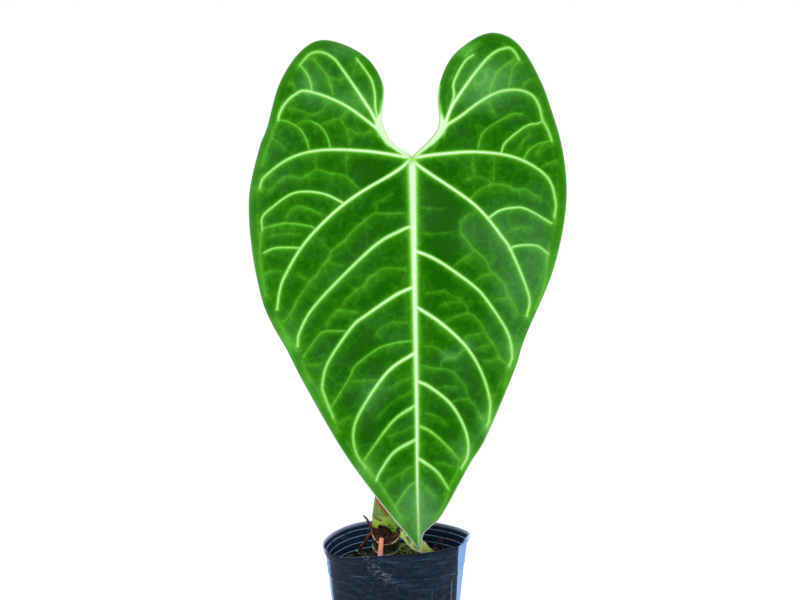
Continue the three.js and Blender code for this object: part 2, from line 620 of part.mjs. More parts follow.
// Points of the blade's mesh: along the margin, three rows along each vein, and the open lamina.
function bladePoints() {
  const draw = dice(7);
  const kept = OUTLINE.map(({ x, y }) => [x, y]);
  const add = (x, y, room) => {
    if (kept.every(([a, b]) => Math.hypot(a - x, b - y) > room)) kept.push([x, y]);
  };
  for (const { points } of VEINS) {
    for (const { x, y } of points) if (toMargin(x, y) > 1.4) add(x, y, 1.3);
  }
  for (const { half, points } of VEINS) {
    points.forEach(({ x, y }, i) => {
      const ahead = points[Math.min(i + 1, points.length - 1)];
      const behind = points[Math.max(i - 1, 0)];
      const along = new THREE.Vector2(ahead.x - behind.x, ahead.y - behind.y).normalize();
      const wide = THREE.MathUtils.lerp(half[0], half[1], i / (points.length - 1));
      for (const side of [-wide, wide]) {
        const [px, py] = [x - side * along.y, y + side * along.x];
        const ownVein = nearestVein(px, py).distance > 0.9 * wide;
        if (ownVein && insideBlade(px, py) && toMargin(px, py) > 1.2) add(px, py, 0.78);
      }
    });
  }
  for (let row = -320, odd = 0; row < 105; row += MESH.open * 0.87, odd = 1 - odd) {
    for (let x = -135 + odd * MESH.open * 0.5; x < 130; x += MESH.open) {
      const [px, py] = [x + MESH.jitter * (2 * draw() - 1), row + MESH.jitter * (2 * draw() - 1)];
      if (insideBlade(px, py) && toMargin(px, py) > MESH.clear) add(px, py, MESH.clear);
    }
  }
  return kept;
}

function insideBlade(x, y) {
  let inside = false;
  for (const { from, to } of MARGIN_LINE) {
    const crosses = (from.y > y) !== (to.y > y);
    if (crosses && x < from.x + ((y - from.y) / (to.y - from.y)) * (to.x - from.x)) inside = !inside;
  }
  return inside;
}

// Delaunay triangles of flat points: the underside of the hull of the same points on a bowl.
function triangulate(pairs) {
  const bowl = pairs.map(([x, y]) => new THREE.Vector3(x, y, (x * x + y * y) / 300));
  const index = new Map(bowl.map((point, i) => [point, i]));
  return new ConvexHull().setFromPoints(bowl).faces
    .filter((face) => face.normal.z < 0)
    .map((face) => [0, 1, 2].map((i) => index.get(face.getEdge(i).head().point)))
    .filter((corners) => {
      const [x, y] = [0, 1].map((axis) => corners.reduce((sum, i) => sum + pairs[i][axis] / 3, 0));
      return insideBlade(x, y);
    });
}

const BLADE_PAIRS = bladePoints();
const BLADE_FACES = triangulate(BLADE_PAIRS);
const BLADE_DEPTHS = BLADE_PAIRS.map(([x, y]) => bladeAt(x, y));

// The blade as a closed sheet whose two faces are split alike, with room added on each side.
function bladeSkin(frontRoom = 0, backRoom = 0) {
  const count = BLADE_PAIRS.length;
  const front = BLADE_PAIRS.map(([x, y], i) => {
    const { middle, rise } = BLADE_DEPTHS[i];
    return onSightLine(x, y, middle - BLADE / 2 - rise - frontRoom);
  });
  const back = BLADE_PAIRS.map(([x, y], i) => {
    const { middle, keel } = BLADE_DEPTHS[i];
    return onSightLine(x, y, middle + BLADE / 2 + keel + backRoom);
  });
  const edges = new Set();
  const faces = [];
  for (const [a, b, c] of BLADE_FACES) {
    faces.push(a, b, c, count + c, count + b, count + a);
    for (const [from, to] of [[a, b], [b, c], [c, a]]) edges.add(`${from} ${to}`);
  }
  for (const edge of edges) {
    const [from, to] = edge.split(' ').map(Number);
    if (!edges.has(`${to} ${from}`)) faces.push(to, from, count + from, to, count + from, count + to);
  }
  return skin([...front, ...back], faces);
}

function makeStalk() {
  const stalk = cutClear(loft(stalkRings()), [bladeSkin(12, CLEAR), loft(stemRings(CLEAR))]);
  return fromSolid(mainBody(stalk));
}

function finish(color, roughness) {
  return new THREE.MeshStandardMaterial({ color, roughness, metalness: 0 });
}

const LOOKS = {
  pot: finish('#141d30', 0.45),
  mix: finish('#2b1d14', 0.95),
  moss: finish('#26421a', 0.95),
  stem: finish('#22381a', 0.7),
  fibre: finish('#40200f', 0.9),
  sheath: finish('#8fa62c', 0.5),
  stalk: finish('#5f9a35', 0.5),
  blade: finish('#1f6f17', 0.5),
  newRoot: finish('#e2785c', 0.5),
  oldRoot: finish('#6b3418', 0.8),
  oldLeaf: finish('#b3b340', 0.7),
};

const PIECES = [
  ['pot', makePot(), LOOKS.pot],
  ['potting_mix', makePottingMix(), LOOKS.mix],
  ['moss', makeMoss(), LOOKS.moss],
  ['stem', loft(stemRings()), LOOKS.stem],
  ['sheath_fibres', makeFibres(), LOOKS.fibre],
  ['leaf_sheath', makeSheath(), LOOKS.sheath],
  ['leaf_stalk', makeStalk(), LOOKS.stalk],
  ['leaf_blade', bladeSkin(), LOOKS.blade],
  ['new_root', makeRoot(NEW_ROOT), LOOKS.newRoot],
  ['root_upper', makeRoot(UPPER_ROOT), LOOKS.oldRoot],
  ['root_lower', makeRoot(LOWER_ROOT), LOOKS.oldRoot],
  ['root_dry', loft(rootRings(DRY_ROOT)), LOOKS.oldRoot],
  ['old_leaf', makeOldLeaf(), LOOKS.oldLeaf],
];

const anthurium = new THREE.Group();
anthurium.name = 'potted_anthurium';
for (const [name, geometry, look] of PIECES) {
  const mesh = new THREE.Mesh(geometry, look);
  mesh.name = name;
  anthurium.add(mesh);
}

export default anthurium;
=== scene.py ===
"""Looks for a potted anthurium regale: one large heart-shaped leaf in a soft nursery pot.

Everything is in metres, with +Z up, +X to the right and +Y away from a viewer in front. The leaf's
outline and veins are given as that viewer sees them, in millimetres from the notch where the stalk
joins, and are laid on the arched surface of the blade.
"""

import logging
import math
import random
from dataclasses import dataclass, field
from enum import Enum
from typing import Callable, Iterable, Optional, Sequence, Union

import bpy
import numpy as np
from mathutils import Euler, Matrix, Vector, noise
from mathutils.geometry import delaunay_2d_cdt


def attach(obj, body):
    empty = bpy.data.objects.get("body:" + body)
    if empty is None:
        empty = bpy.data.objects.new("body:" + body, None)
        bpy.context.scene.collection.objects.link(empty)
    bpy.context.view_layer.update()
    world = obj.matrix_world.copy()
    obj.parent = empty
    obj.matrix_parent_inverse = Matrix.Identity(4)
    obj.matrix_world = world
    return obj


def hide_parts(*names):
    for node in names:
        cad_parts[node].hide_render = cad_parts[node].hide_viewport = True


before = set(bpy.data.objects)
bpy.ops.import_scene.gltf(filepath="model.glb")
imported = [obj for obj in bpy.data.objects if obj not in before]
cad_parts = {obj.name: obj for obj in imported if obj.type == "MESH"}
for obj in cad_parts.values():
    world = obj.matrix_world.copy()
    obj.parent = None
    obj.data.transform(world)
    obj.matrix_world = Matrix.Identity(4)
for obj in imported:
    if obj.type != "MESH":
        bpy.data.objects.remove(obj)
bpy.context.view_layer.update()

LOG = logging.getLogger("anthurium")
MM = 0.001
Colour = tuple[float, float, float, float]
Pairs = Sequence[Sequence[float]]
Place = Callable[[Vector], Vector]


@dataclass(frozen=True)
class Reading:
    """Places on the leaf read from the photograph, in pixels of its 800 x 600 frame."""

    right: float
    down: float
    pixel: float

    def at(self, *spots: Sequence[float]) -> list[list[float]]:
        """Turns places that were read into places on the leaf.

        Args:
            *spots: Pixels to the right and down.

        Returns:
            Millimetres across and up from the notch, to the nearest half.
        """
        return [
            [round((x - self.right) * self.pixel * 2) / 2, round((self.down - y) * self.pixel * 2) / 2]
            for x, y in spots
        ]

    def lines(self, *rows: Sequence) -> list[tuple]:
        """Turns veins that were read into veins on the leaf.

        Args:
            *rows: Brightness of each vein and then the places read along it.

        Returns:
            The same rows with places on the leaf.
        """
        found = []
        for row in rows:
            spots = [part for part in row if isinstance(part, tuple)]
            found.append((*row[:len(row) - len(spots)], *self.at(*spots)))
        return found


# The notch's pixel and the millimetres in a pixel, for the outline, the ribs and the faint veins.
EDGE = Reading(412.3, 158.0, 0.8064)
RIBS = Reading(412.0, 157.7, 0.8064)
NET = Reading(412.28, 158.06, 0.8062)

# Outline and veins of the leaf. Points in square brackets were placed in millimetres. A rib or a
# branch has its brightness at its start and end first.
LEFT_SIDE = [
    *EDGE.at((412, 156)), [-2.5, 3.1], [-11.3, 8.5], [-18, 15.2], [-21.2, 21],
    *EDGE.at((384, 126), (382, 114), (384, 88), (371, 62), (347, 45.5), (320, 40.5), (298, 54), (279, 85),
             (267, 127), (259, 149), (249, 196), (252, 248), (261.5, 298), (272, 324), (287, 350),
             (303, 382), (341, 449), (381, 504), (412, 541), (419, 551)),
]
RIGHT_SIDE = [
    *EDGE.at((419, 551)), [7.6, -311], [8.2, -306], [9.8, -302], [14.5, -297.6],
    *EDGE.at((443, 513), (470, 465), (487, 437), (514, 371), (526, 336), (553, 270), (566, 206),
             (563, 152), (548, 100), (537, 73), (524, 51), (510, 38), (495, 33), (481, 35), (466, 44),
             (452, 57), (442, 76), (437.5, 98), (439, 124), (430, 139), (412, 156)),
]
MIDRIB = EDGE.at((412.3, 158), (416.5, 400), (417, 480), (419.3, 548))
LEFT_RIBS = [
    (0.95, 0.66, *RIBS.at((412, 158)), [-8.5, 4.9], [-14.5, 9.6], [-20.5, 17.2],
     *RIBS.at((345, 105), (308, 91), (294, 94.5), (285, 103), (279.5, 113), (278, 120))),
    (0.95, 0.4, [-20.5, 17.2], [-27, 26],
     *RIBS.at((368, 107), (340, 66), (331, 56), (321, 51.8), (310, 53.5), (299, 65))),
    *RIBS.lines(
        (1, 0.55, (412, 158), (368, 150.9), (322, 149.7), (290, 157.8), (264.4, 176), (259.4, 188)),
        (1, 0.66, (412, 158), (395, 171.5), (358.6, 193.3), (331, 215), (303.5, 244), (285, 275),
         (279.4, 291), (277, 309)),
        (0.82, 0.66, (413.5, 225.5), (400, 230), (372, 247.5), (317, 302.4), (300, 331), (297, 346)),
        (0.9, 0.45, (414.5, 286), (395, 294.5), (366, 314.3), (352, 326.3), (328, 361), (322.3, 384),
         (324.6, 396), (333, 418)),
        (0.9, 0.38, (415.5, 352), (388, 371), (361.7, 408), (353, 432), (356, 453), (365.2, 467)),
        (0.66, 0.18, (416, 404.5), (392.6, 420.7), (367.3, 454.4), (363.8, 461.4)),
        (0.72, 0.7, (416.2, 438.6), (394, 451.6), (380, 471.2), (375.8, 480.3)),
    ),
]
RIGHT_RIBS = RIBS.lines(
    (0.95, 0.45, (412, 158), (430, 141.7), (443.5, 127), (459.6, 116.4), (478, 102.7), (494, 93.5),
     (508, 89.6), (521.6, 90), (533, 96), (538.8, 107), (542, 119), (548, 130), (551.4, 140.5)),
    (0.97, 0.5, (443.5, 127), (455, 100.4), (487, 58), (506.7, 47.6), (514.7, 52), (518.8, 59)),
    (1, 0.52, (412, 158), (436.6, 153.8), (478, 151.6), (517, 157.8), (546.8, 176), (555, 201.4),
     (553.7, 217.4)),
    (1, 0.62, (412, 158), (420.6, 167), (473.4, 203.7), (501, 236), (512.4, 254), (528.5, 295.5),
     (526.6, 316)),
    (0.9, 0.58, (414, 250), (430, 256.5), (446, 265.7), (473.4, 285.2), (487, 300), (507, 331.5),
     (512, 354), (508.5, 366)),
    (0.95, 0.5, (415, 306), (439.6, 322), (465.4, 345.3), (481, 371), (489.5, 399), (488.7, 418),
     (486.6, 426)),
    (0.82, 0.66, (416, 380.5), (430.5, 387), (451.5, 405.3), (465.6, 430.5), (467.7, 453), (460.7, 468)),
    (0.48, 0.08, (416.5, 425), (430.5, 431), (448.7, 447.3), (461.4, 462.8)),
    (0.8, 0.42, (416.8, 457), (436, 471), (448.7, 488.7)),
)
BRANCHES = RIBS.lines(
    (0.8, 0.55, (379, 126), (375.5, 108), (374, 91), (370, 77), (356, 58)),
    (0.22, 0.15, (416.8, 482), (408, 486.6), (395.4, 505)),
    (0.85, 0.66, (447, 117), (453.8, 96), (453.8, 82), (464.2, 61.3), (473.4, 54.4)),
    (0.08, 0.04, (417, 482), (426.3, 486.6), (434.7, 493.7)),
    (0.8, 0.6, (345, 203.5), (322, 193.3), (294.3, 192.2), (271, 207), (262, 217.4), (262, 230)),
    (0.24, 0.18, (317, 229), (308, 225.5), (290, 223), (276, 224.3), (263, 228)),
    (0.62, 0.5, (301.5, 247.5), (283, 247), (272.5, 248.4), (263, 252.3)),
    (0.26, 0.2, (309, 151), (305.8, 139.4), (299, 128), (287.4, 121), (278.7, 119.2)),
    (0.3, 0.2, (331, 149.7), (326.4, 134.8), (319.5, 125.6), (311.5, 121)),
    (0.42, 0.34, (311.5, 91), (310.5, 82), (306, 72), (299, 64)),
    (0.2, 0.14, (348.5, 330.6), (324.4, 330.6), (315.8, 338.4), (303.7, 355.6)),
    (0.24, 0.17, (415.3, 340), (395, 342.7), (378, 348), (355.4, 365), (348.5, 378), (330.5, 407)),
    (0.8, 0.62, (487, 218.6), (498.6, 210.6), (512.4, 207), (526.2, 208.7), (551.4, 222.7)),
    (0.74, 0.55, (508.5, 249), (514.7, 246), (526.2, 244.3), (537.7, 246), (548, 253)),
    (0.6, 0.46, (500.5, 153.5), (505.5, 141.7), (526.2, 125.2), (537.7, 123), (542.2, 120)),
    (0.18, 0.14, (476.8, 151.6), (480.3, 137), (487, 128), (510, 114), (521.6, 113)),
    (0.2, 0.15, (522.7, 160), (528.5, 149.7), (540, 142.8), (551.4, 140.5)),
)

# Faint veins between them. Each has its strength first, judged one by one.
FAINT = NET.lines(
    (0.6, (333, 95), (330, 82), (326, 74), (320, 66), (314, 60)),
    (0.35, (330, 77), (340, 79), (347, 77)),
    (0.3, (357, 58), (353, 75)),
    (0.25, (292, 82), (296, 90)),
    (0.3, (326, 104), (322, 110), (312, 114), (300, 110), (289, 108)),
    (0.4, (297, 124), (303, 121), (309, 121)),
    (0.35, (345, 112), (340, 118), (330, 121), (320, 125)),
    (0.3, (340, 118), (345, 127), (348, 133), (350, 145)),
    (0.3, (345, 127), (355, 132), (363, 134), (370, 131)),
    (0.3, (272, 138), (280, 143), (286, 150)),
    (0.4, (278, 120), (273, 130), (270, 140), (265, 152), (262, 164)),
    (0.5, (359, 189), (350, 180), (342, 175), (330, 173), (320, 170), (315, 170), (308, 174),
     (302, 178)),
    (0.35, (302, 178), (292, 176), (284, 177), (276, 184), (268, 191)),
    (0.28, (316, 170), (316, 160), (315, 154)),
    (0.28, (347, 176), (346, 162), (347, 153)),
    (0.35, (325, 215), (315, 211), (305, 207), (297, 206), (290, 210), (287, 217)),
    (0.2, (270, 235), (285, 233), (300, 234)),
    (0.5, (262, 225), (261, 240), (260, 256), (262, 275), (266, 296)),
    (0.3, (262, 275), (270, 271), (281, 271)),
    (0.5, (408, 213), (390, 213), (375, 213), (367, 218), (360, 224), (352, 231), (345, 240),
     (337, 246), (331, 252), (328, 259), (321, 267), (316, 275), (309, 282), (304, 290),
     (298, 299), (293, 308), (288, 316), (283, 321)),
    (0.3, (376, 213), (377, 203), (382, 200), (392, 194)),
    (0.25, (328, 259), (332, 262), (344, 266)),
    (0.25, (331, 252), (326, 246), (322, 241)),
    (0.22, (309, 282), (304, 278), (298, 273)),
    (0.4, (404, 269), (390, 268), (381, 269), (375, 274), (368, 278), (365, 286), (358, 288),
     (352, 294), (346, 299), (342, 306), (338, 310)),
    (0.4, (338, 310), (345, 310), (352, 311), (359, 313)),
    (0.35, (338, 310), (332, 315), (328, 321), (326, 327)),
    (0.35, (276, 318), (281, 326), (286, 335), (291, 344)),
    (0.3, (302, 360), (305, 370), (310, 380)),
    (0.25, (322, 364), (312, 364), (305, 366)),
    (0.3, (408, 323), (395, 322), (385, 325), (379, 330), (376, 335)),
    (0.3, (377, 380), (363, 381), (351, 381)),
    (0.3, (408, 379), (396, 384), (389, 389)),
    (0.32, (411, 393), (403, 396), (395, 400), (387, 407), (378, 416)),
    (0.4, (331, 405), (334, 415), (337, 429)),
    (0.25, (350, 416), (343, 420), (337, 424)),
    (0.3, (411, 427), (404, 431), (396, 433), (390, 436)),
    (0.3, (411, 466), (402, 473), (394, 476), (387, 483)),
    (0.55, (363, 460), (372, 474), (384, 489), (394, 506), (401, 517)),
    (0.35, (466, 55), (472, 47), (480, 41)),
    (0.55, (489, 93), (492, 83), (497, 72), (505, 65), (515, 58)),
    (0.3, (474, 83), (480, 84), (486, 77), (487, 69), (497, 72)),
    (0.45, (509, 86), (511, 75), (513, 68), (519, 61)),
    (0.35, (521, 88), (525, 83), (530, 79)),
    (0.3, (489, 103), (493, 110), (496, 115)),
    (0.25, (477, 125), (483, 127), (487, 130)),
    (0.25, (518, 152), (523, 140), (530, 135)),
    (0.25, (535, 156), (540, 147), (545, 143)),
    (0.35, (540, 168), (548, 163), (556, 160)),
    (0.45, (470, 199), (478, 191), (487, 186), (495, 184), (505, 185), (515, 189), (525, 189),
     (533, 194), (540, 197)),
    (0.3, (491, 183), (485, 178), (476, 176), (466, 179)),
    (0.25, (474, 176), (473, 165), (473, 157)),
    (0.25, (493, 183), (494, 170), (494, 159)),
    (0.35, (418, 207), (430, 208), (442, 208)),
    (0.35, (418, 233), (430, 234), (440, 233), (452, 232)),
    (0.42, (460, 222), (461, 232), (467, 240), (474, 249), (480, 254), (486, 260), (490, 269),
     (494, 273), (500, 279), (505, 286), (508, 294), (511, 299), (515, 307), (518, 313)),
    (0.3, (470, 213), (464, 219), (460, 224)),
    (0.35, (454, 266), (462, 259), (470, 254), (475, 250)),
    (0.35, (475, 281), (482, 276), (494, 273)),
    (0.3, (493, 301), (500, 298), (509, 298)),
    (0.25, (508, 232), (520, 227), (531, 227)),
    (0.35, (549, 247), (547, 262), (545, 280), (541, 296), (536, 308)),
    (0.35, (427, 294), (435, 292), (444, 291), (452, 295), (460, 299)),
    (0.3, (440, 305), (450, 302), (460, 302), (466, 305), (467, 313)),
    (0.42, (446, 321), (455, 316), (467, 313), (473, 315), (478, 320), (483, 328), (486, 334),
     (491, 341), (496, 349), (499, 357), (505, 363)),
    (0.35, (466, 336), (475, 334), (485, 332)),
    (0.25, (475, 350), (483, 346), (489, 345)),
    (0.25, (483, 360), (492, 360), (499, 358)),
    (0.25, (511, 357), (508, 370), (504, 384)),
    (0.35, (419, 347), (430, 346), (437, 348), (443, 352), (448, 357)),
    (0.4, (465, 349), (460, 353), (454, 357), (448, 358), (442, 361), (441, 367)),
    (0.45, (419, 365), (428, 367), (437, 368), (446, 369), (453, 372), (460, 380), (465, 385),
     (467, 393), (469, 399), (474, 404), (478, 411), (483, 419)),
    (0.35, (438, 388), (445, 386), (456, 387)),
    (0.3, (453, 402), (460, 399), (469, 399)),
    (0.35, (425, 413), (433, 414), (440, 418), (446, 423)),
    (0.3, (435, 463), (445, 463), (451, 466)),
    (0.42, (467, 452), (459, 464), (457, 473), (450, 487), (447, 496), (442, 508), (435, 517)),
    (0.25, (421, 482), (428, 489), (434, 496)),
)

# Paler and darker patches of the blade, the paler cooler ones painted sheen: across and up, half
# width and half height, change of tone and strength of the painted cool sheen.
PAINTED_SHEEN_AND_TONE_PATCHES = [
    (62, 62, 20, 15, 0.15, 0.5), (50, 46, 15, 8, 0.06, 0.2), (55, 96, 12, 6, -0.06, 0),
    (-50, 46, 20, 9, 0.11, 0.25), (-82, 58, 9, 13, 0.09, 0.4), (-55, 88, 12, 7, 0.05, 0.2),
    (70, -62, 14, 22, 0.06, 0.3), (80, -105, 13, 26, 0.05, 0.3), (100, -80, 12, 40, 0.05, 0.3),
    (42.5, 87, 8, 7, 0.12, 0.2), (46, -60, 10, 14, 0.02, 0.2), (83, -155, 11, 15, 0.1, 0.3),
    (62, -215, 10, 15, 0.11, 0.3),
    (42, -236, 10, 12, 0.08, 0.2), (30, -159, 8, 4, 0.07, 0.35), (44, -150, 7, 4, 0.06, 0.35),
    (-99, -151, 10, 15, 0.09, 0.1), (-78, -195, 9, 15, 0.08, 0.1), (-38, -256, 12, 13, 0.1, 0.2),
    (0, -294, 22, 20, 0.12, 0.35), (4, -274, 14, 14, 0.06, 0.4), (-35, -195, 7, 14, 0.01, 0.15),
    (12, -296, 9, 12, 0.06, 0.5),
    (23, -60, 13, 46, -0.09, 0), (24, -180, 10, 60, -0.05, 0), (-20, -26, 24, 24, -0.07, 0),
    (-42, -12, 18, 9, -0.05, 0), (-16, -203, 12, 18, -0.08, 0), (-34, -222, 8, 12, -0.05, 0),
    (-38, -152, 12, 16, -0.04, 0), (47, -196, 11, 24, -0.06, 0), (42, 26, 22, 8, -0.05, 0),
    (-60, 73, 7, 6, -0.07, 0), (22, -138, 9, 12, 0.08, 0), (-26, -186, 9, 9, 0.05, 0.2),
    (113, -62, 8, 22, 0.05, 0), (-125, -34, 8, 30, 0.05, 0),
]

# Axes of the stalk and the roots, each point with the radius there, all in millimetres.
STALK = [
    (-9.5, 8.5, 110.5, 6), (-10.5, 8.5, 124, 5.6), (-10.5, 10, 145, 4.6), (-8.5, 13, 185, 3.7),
    (-4.5, 16, 240, 3.5), (2, 18, 305, 3.4), (8, 18, 360, 3.5), (11.2, 15, 388, 4.2),
    (12.1, 10, 401, 4.4), (12.1, 4.6, 406.2, 3.4), (12.1, 1.4, 408.4, 1.6),
]
NEW_ROOT = [
    (-12.9, -6.6, 103.4, 1.9), (-13.2, -9, 100.6, 2), (-13.7, -11.4, 95, 2.05),
    (-14.3, -11.6, 84, 2.15), (-14.8, -11.2, 66, 1.8),
]
UPPER_ROOT = [
    (-18, 6, 107.5, 1.3), (-20.5, 4.5, 109, 1.25), (-23.4, 3, 114, 1.05), (-25.9, 2.5, 118.3, 0.95),
    (-28.2, 2.3, 120.6, 0.75),
]
LOWER_ROOT = [
    (-17, 6, 104, 1.4), (-21.8, 8, 103.6, 1.35), (-24.6, 11, 99.5, 1.2), (-26.8, 17, 94, 1.1),
    (-30, 26, 88.5, 1.8), (-32, 33, 83, 1.2), (-30, 37, 70, 0.9),
]
DRY_ROOT = [
    (30.3, 37.5, 72, 0.8), (30.8, 37.5, 83, 0.75), (33.5, 35.5, 88, 0.6), (37, 33.5, 93, 0.6),
    (38, 32, 89, 0.5), (38.8, 31, 84.5, 0.5), (39, 31, 75, 0.6),
]
OLD_LEAF = [
    (-3, 9, 101.5, 1.4), (3, 12, 101.8, 3.4), (9, 15.5, 98.5, 6.2), (15, 19.5, 93.8, 7.2),
    (21.5, 24.5, 88.3, 6.2), (27, 29, 84, 3.6), (31, 32.5, 81.8, 0.9),
]


def srgb(red: float, green: float, blue: float) -> Colour:
    """Linear colour of 0 to 255 screen values.

    Args:
        red: Red value.
        green: Green value.
        blue: Blue value.

    Returns:
        The colour with an alpha of 1.
    """
    parts = [value / 255 for value in (red, green, blue)]
    linear = [p / 12.92 if p <= 0.04045 else ((p + 0.055) / 1.055) ** 2.4 for p in parts]
    return (linear[0], linear[1], linear[2], 1.0)


def two_digits(value: float) -> float:
    """A number rounded to two significant digits."""
    return float(f"{value:.2g}")


def smooth(value: float, low: float, high: float) -> float:
    """Smooth step from 0 at low to 1 at high.

    Args:
        value: Number that is tested.
        low: Where the step starts.
        high: Where the step ends.

    Returns:
        A number from 0 to 1.
    """
    part = min(max((value - low) / (high - low), 0.0), 1.0)
    return part * part * (3 - 2 * part)


def smooth_line(points: Pairs, spacing: float) -> np.ndarray:
    """Evenly spaced points on a smooth curve through the given ones.

    Args:
        points: Points that the curve passes, in any number of dimensions.
        spacing: Distance wanted between the new points, over the first two or three dimensions.

    Returns:
        One row for each new point.
    """
    given = np.array(points, float)
    padded = np.vstack([2 * given[0] - given[1], given, 2 * given[-1] - given[-2]])
    t = np.linspace(0, 1, 24, endpoint=False)[:, None]
    parts = [
        0.5 * (2 * b + (c - a) * t + (2 * a - 5 * b + 4 * c - d) * t**2 + (3 * b - a - 3 * c + d) * t**3)
        for a, b, c, d in zip(padded, padded[1:], padded[2:], padded[3:])
    ]
    dense = np.vstack([*parts, given[-1:]])
    steps = np.linalg.norm(np.diff(dense[:, :3], axis=0), axis=1)
    length = np.concatenate([[0], np.cumsum(steps)])
    wanted = np.linspace(0, length[-1], max(2, round(length[-1] / spacing)) + 1)
    return np.column_stack([np.interp(wanted, length, column) for column in dense.T])


class Signal:
    """A node's output that takes part in Python expressions."""

    def __init__(self, tree: bpy.types.NodeTree, socket: bpy.types.NodeSocket) -> None:
        """Wraps a socket.

        Args:
            tree: Node tree that the socket is in.
            socket: Output socket.
        """
        self.tree = tree
        self.socket = socket

    def maths(self, operation: str, *operands: "Number") -> "Signal":
        """Adds a Math node.

        Args:
            operation: The node's operation.
            *operands: Its inputs in order.

        Returns:
            The node's output.
        """
        node = self.tree.nodes.new("ShaderNodeMath")
        node.operation = operation
        for slot, operand in zip(node.inputs, operands or (self,)):
            if isinstance(operand, Signal):
                self.tree.links.new(operand.socket, slot)
            else:
                slot.default_value = operand
        return Signal(self.tree, node.outputs[0])

    def __add__(self, other: "Number") -> "Signal":
        """Sum."""
        return self.maths("ADD", self, other)

    def __radd__(self, other: "Number") -> "Signal":
        """Sum with a number in front."""
        return self.maths("ADD", other, self)

    def __sub__(self, other: "Number") -> "Signal":
        """Difference."""
        return self.maths("SUBTRACT", self, other)

    def __rsub__(self, other: "Number") -> "Signal":
        """Difference from a number."""
        return self.maths("SUBTRACT", other, self)

    def __mul__(self, other: "Number") -> "Signal":
        """Product."""
        return self.maths("MULTIPLY", self, other)

    def __rmul__(self, other: "Number") -> "Signal":
        """Product with a number in front."""
        return self.maths("MULTIPLY", other, self)

    def __truediv__(self, other: "Number") -> "Signal":
        """Quotient."""
        return self.maths("DIVIDE", self, other)

    def __pow__(self, other: "Number") -> "Signal":
        """Power."""
        return self.maths("POWER", self, other)

    def fading(self, reach: float) -> "Signal":
        """1 at 0, falling exponentially over a reach."""
        return (self * (-1 / reach)).maths("EXPONENT")

    def near(self, centre: float, reach: float) -> "Signal":
        """1 at a centre value, falling smoothly to 0 at a reach on both sides.

        Args:
            centre: Value in the middle of the band.
            reach: Distance from it to where the band ends.

        Returns:
            The band's mask.
        """
        return 1 - self.maths("ABSOLUTE", self - centre).step(0, reach)

    def step(self, low: float, high: float) -> "Signal":
        """Smooth step from 0 at low to 1 at high, or falling where low is the larger.

        Args:
            low: Where the step is 0.
            high: Where the step is 1.

        Returns:
            The step's mask.
        """
        node = self.tree.nodes.new("ShaderNodeMapRange")
        node.interpolation_type = "SMOOTHSTEP"
        self.tree.links.new(self.socket, node.inputs["Value"])
        first, last = (0.0, 1.0) if low < high else (1.0, 0.0)
        node.inputs["From Min"].default_value = min(low, high)
        node.inputs["From Max"].default_value = max(low, high)
        node.inputs["To Min"].default_value = first
        node.inputs["To Max"].default_value = last
        return Signal(self.tree, node.outputs["Result"])


Number = Union[Signal, float, int]
Tone = Union[Signal, Colour]


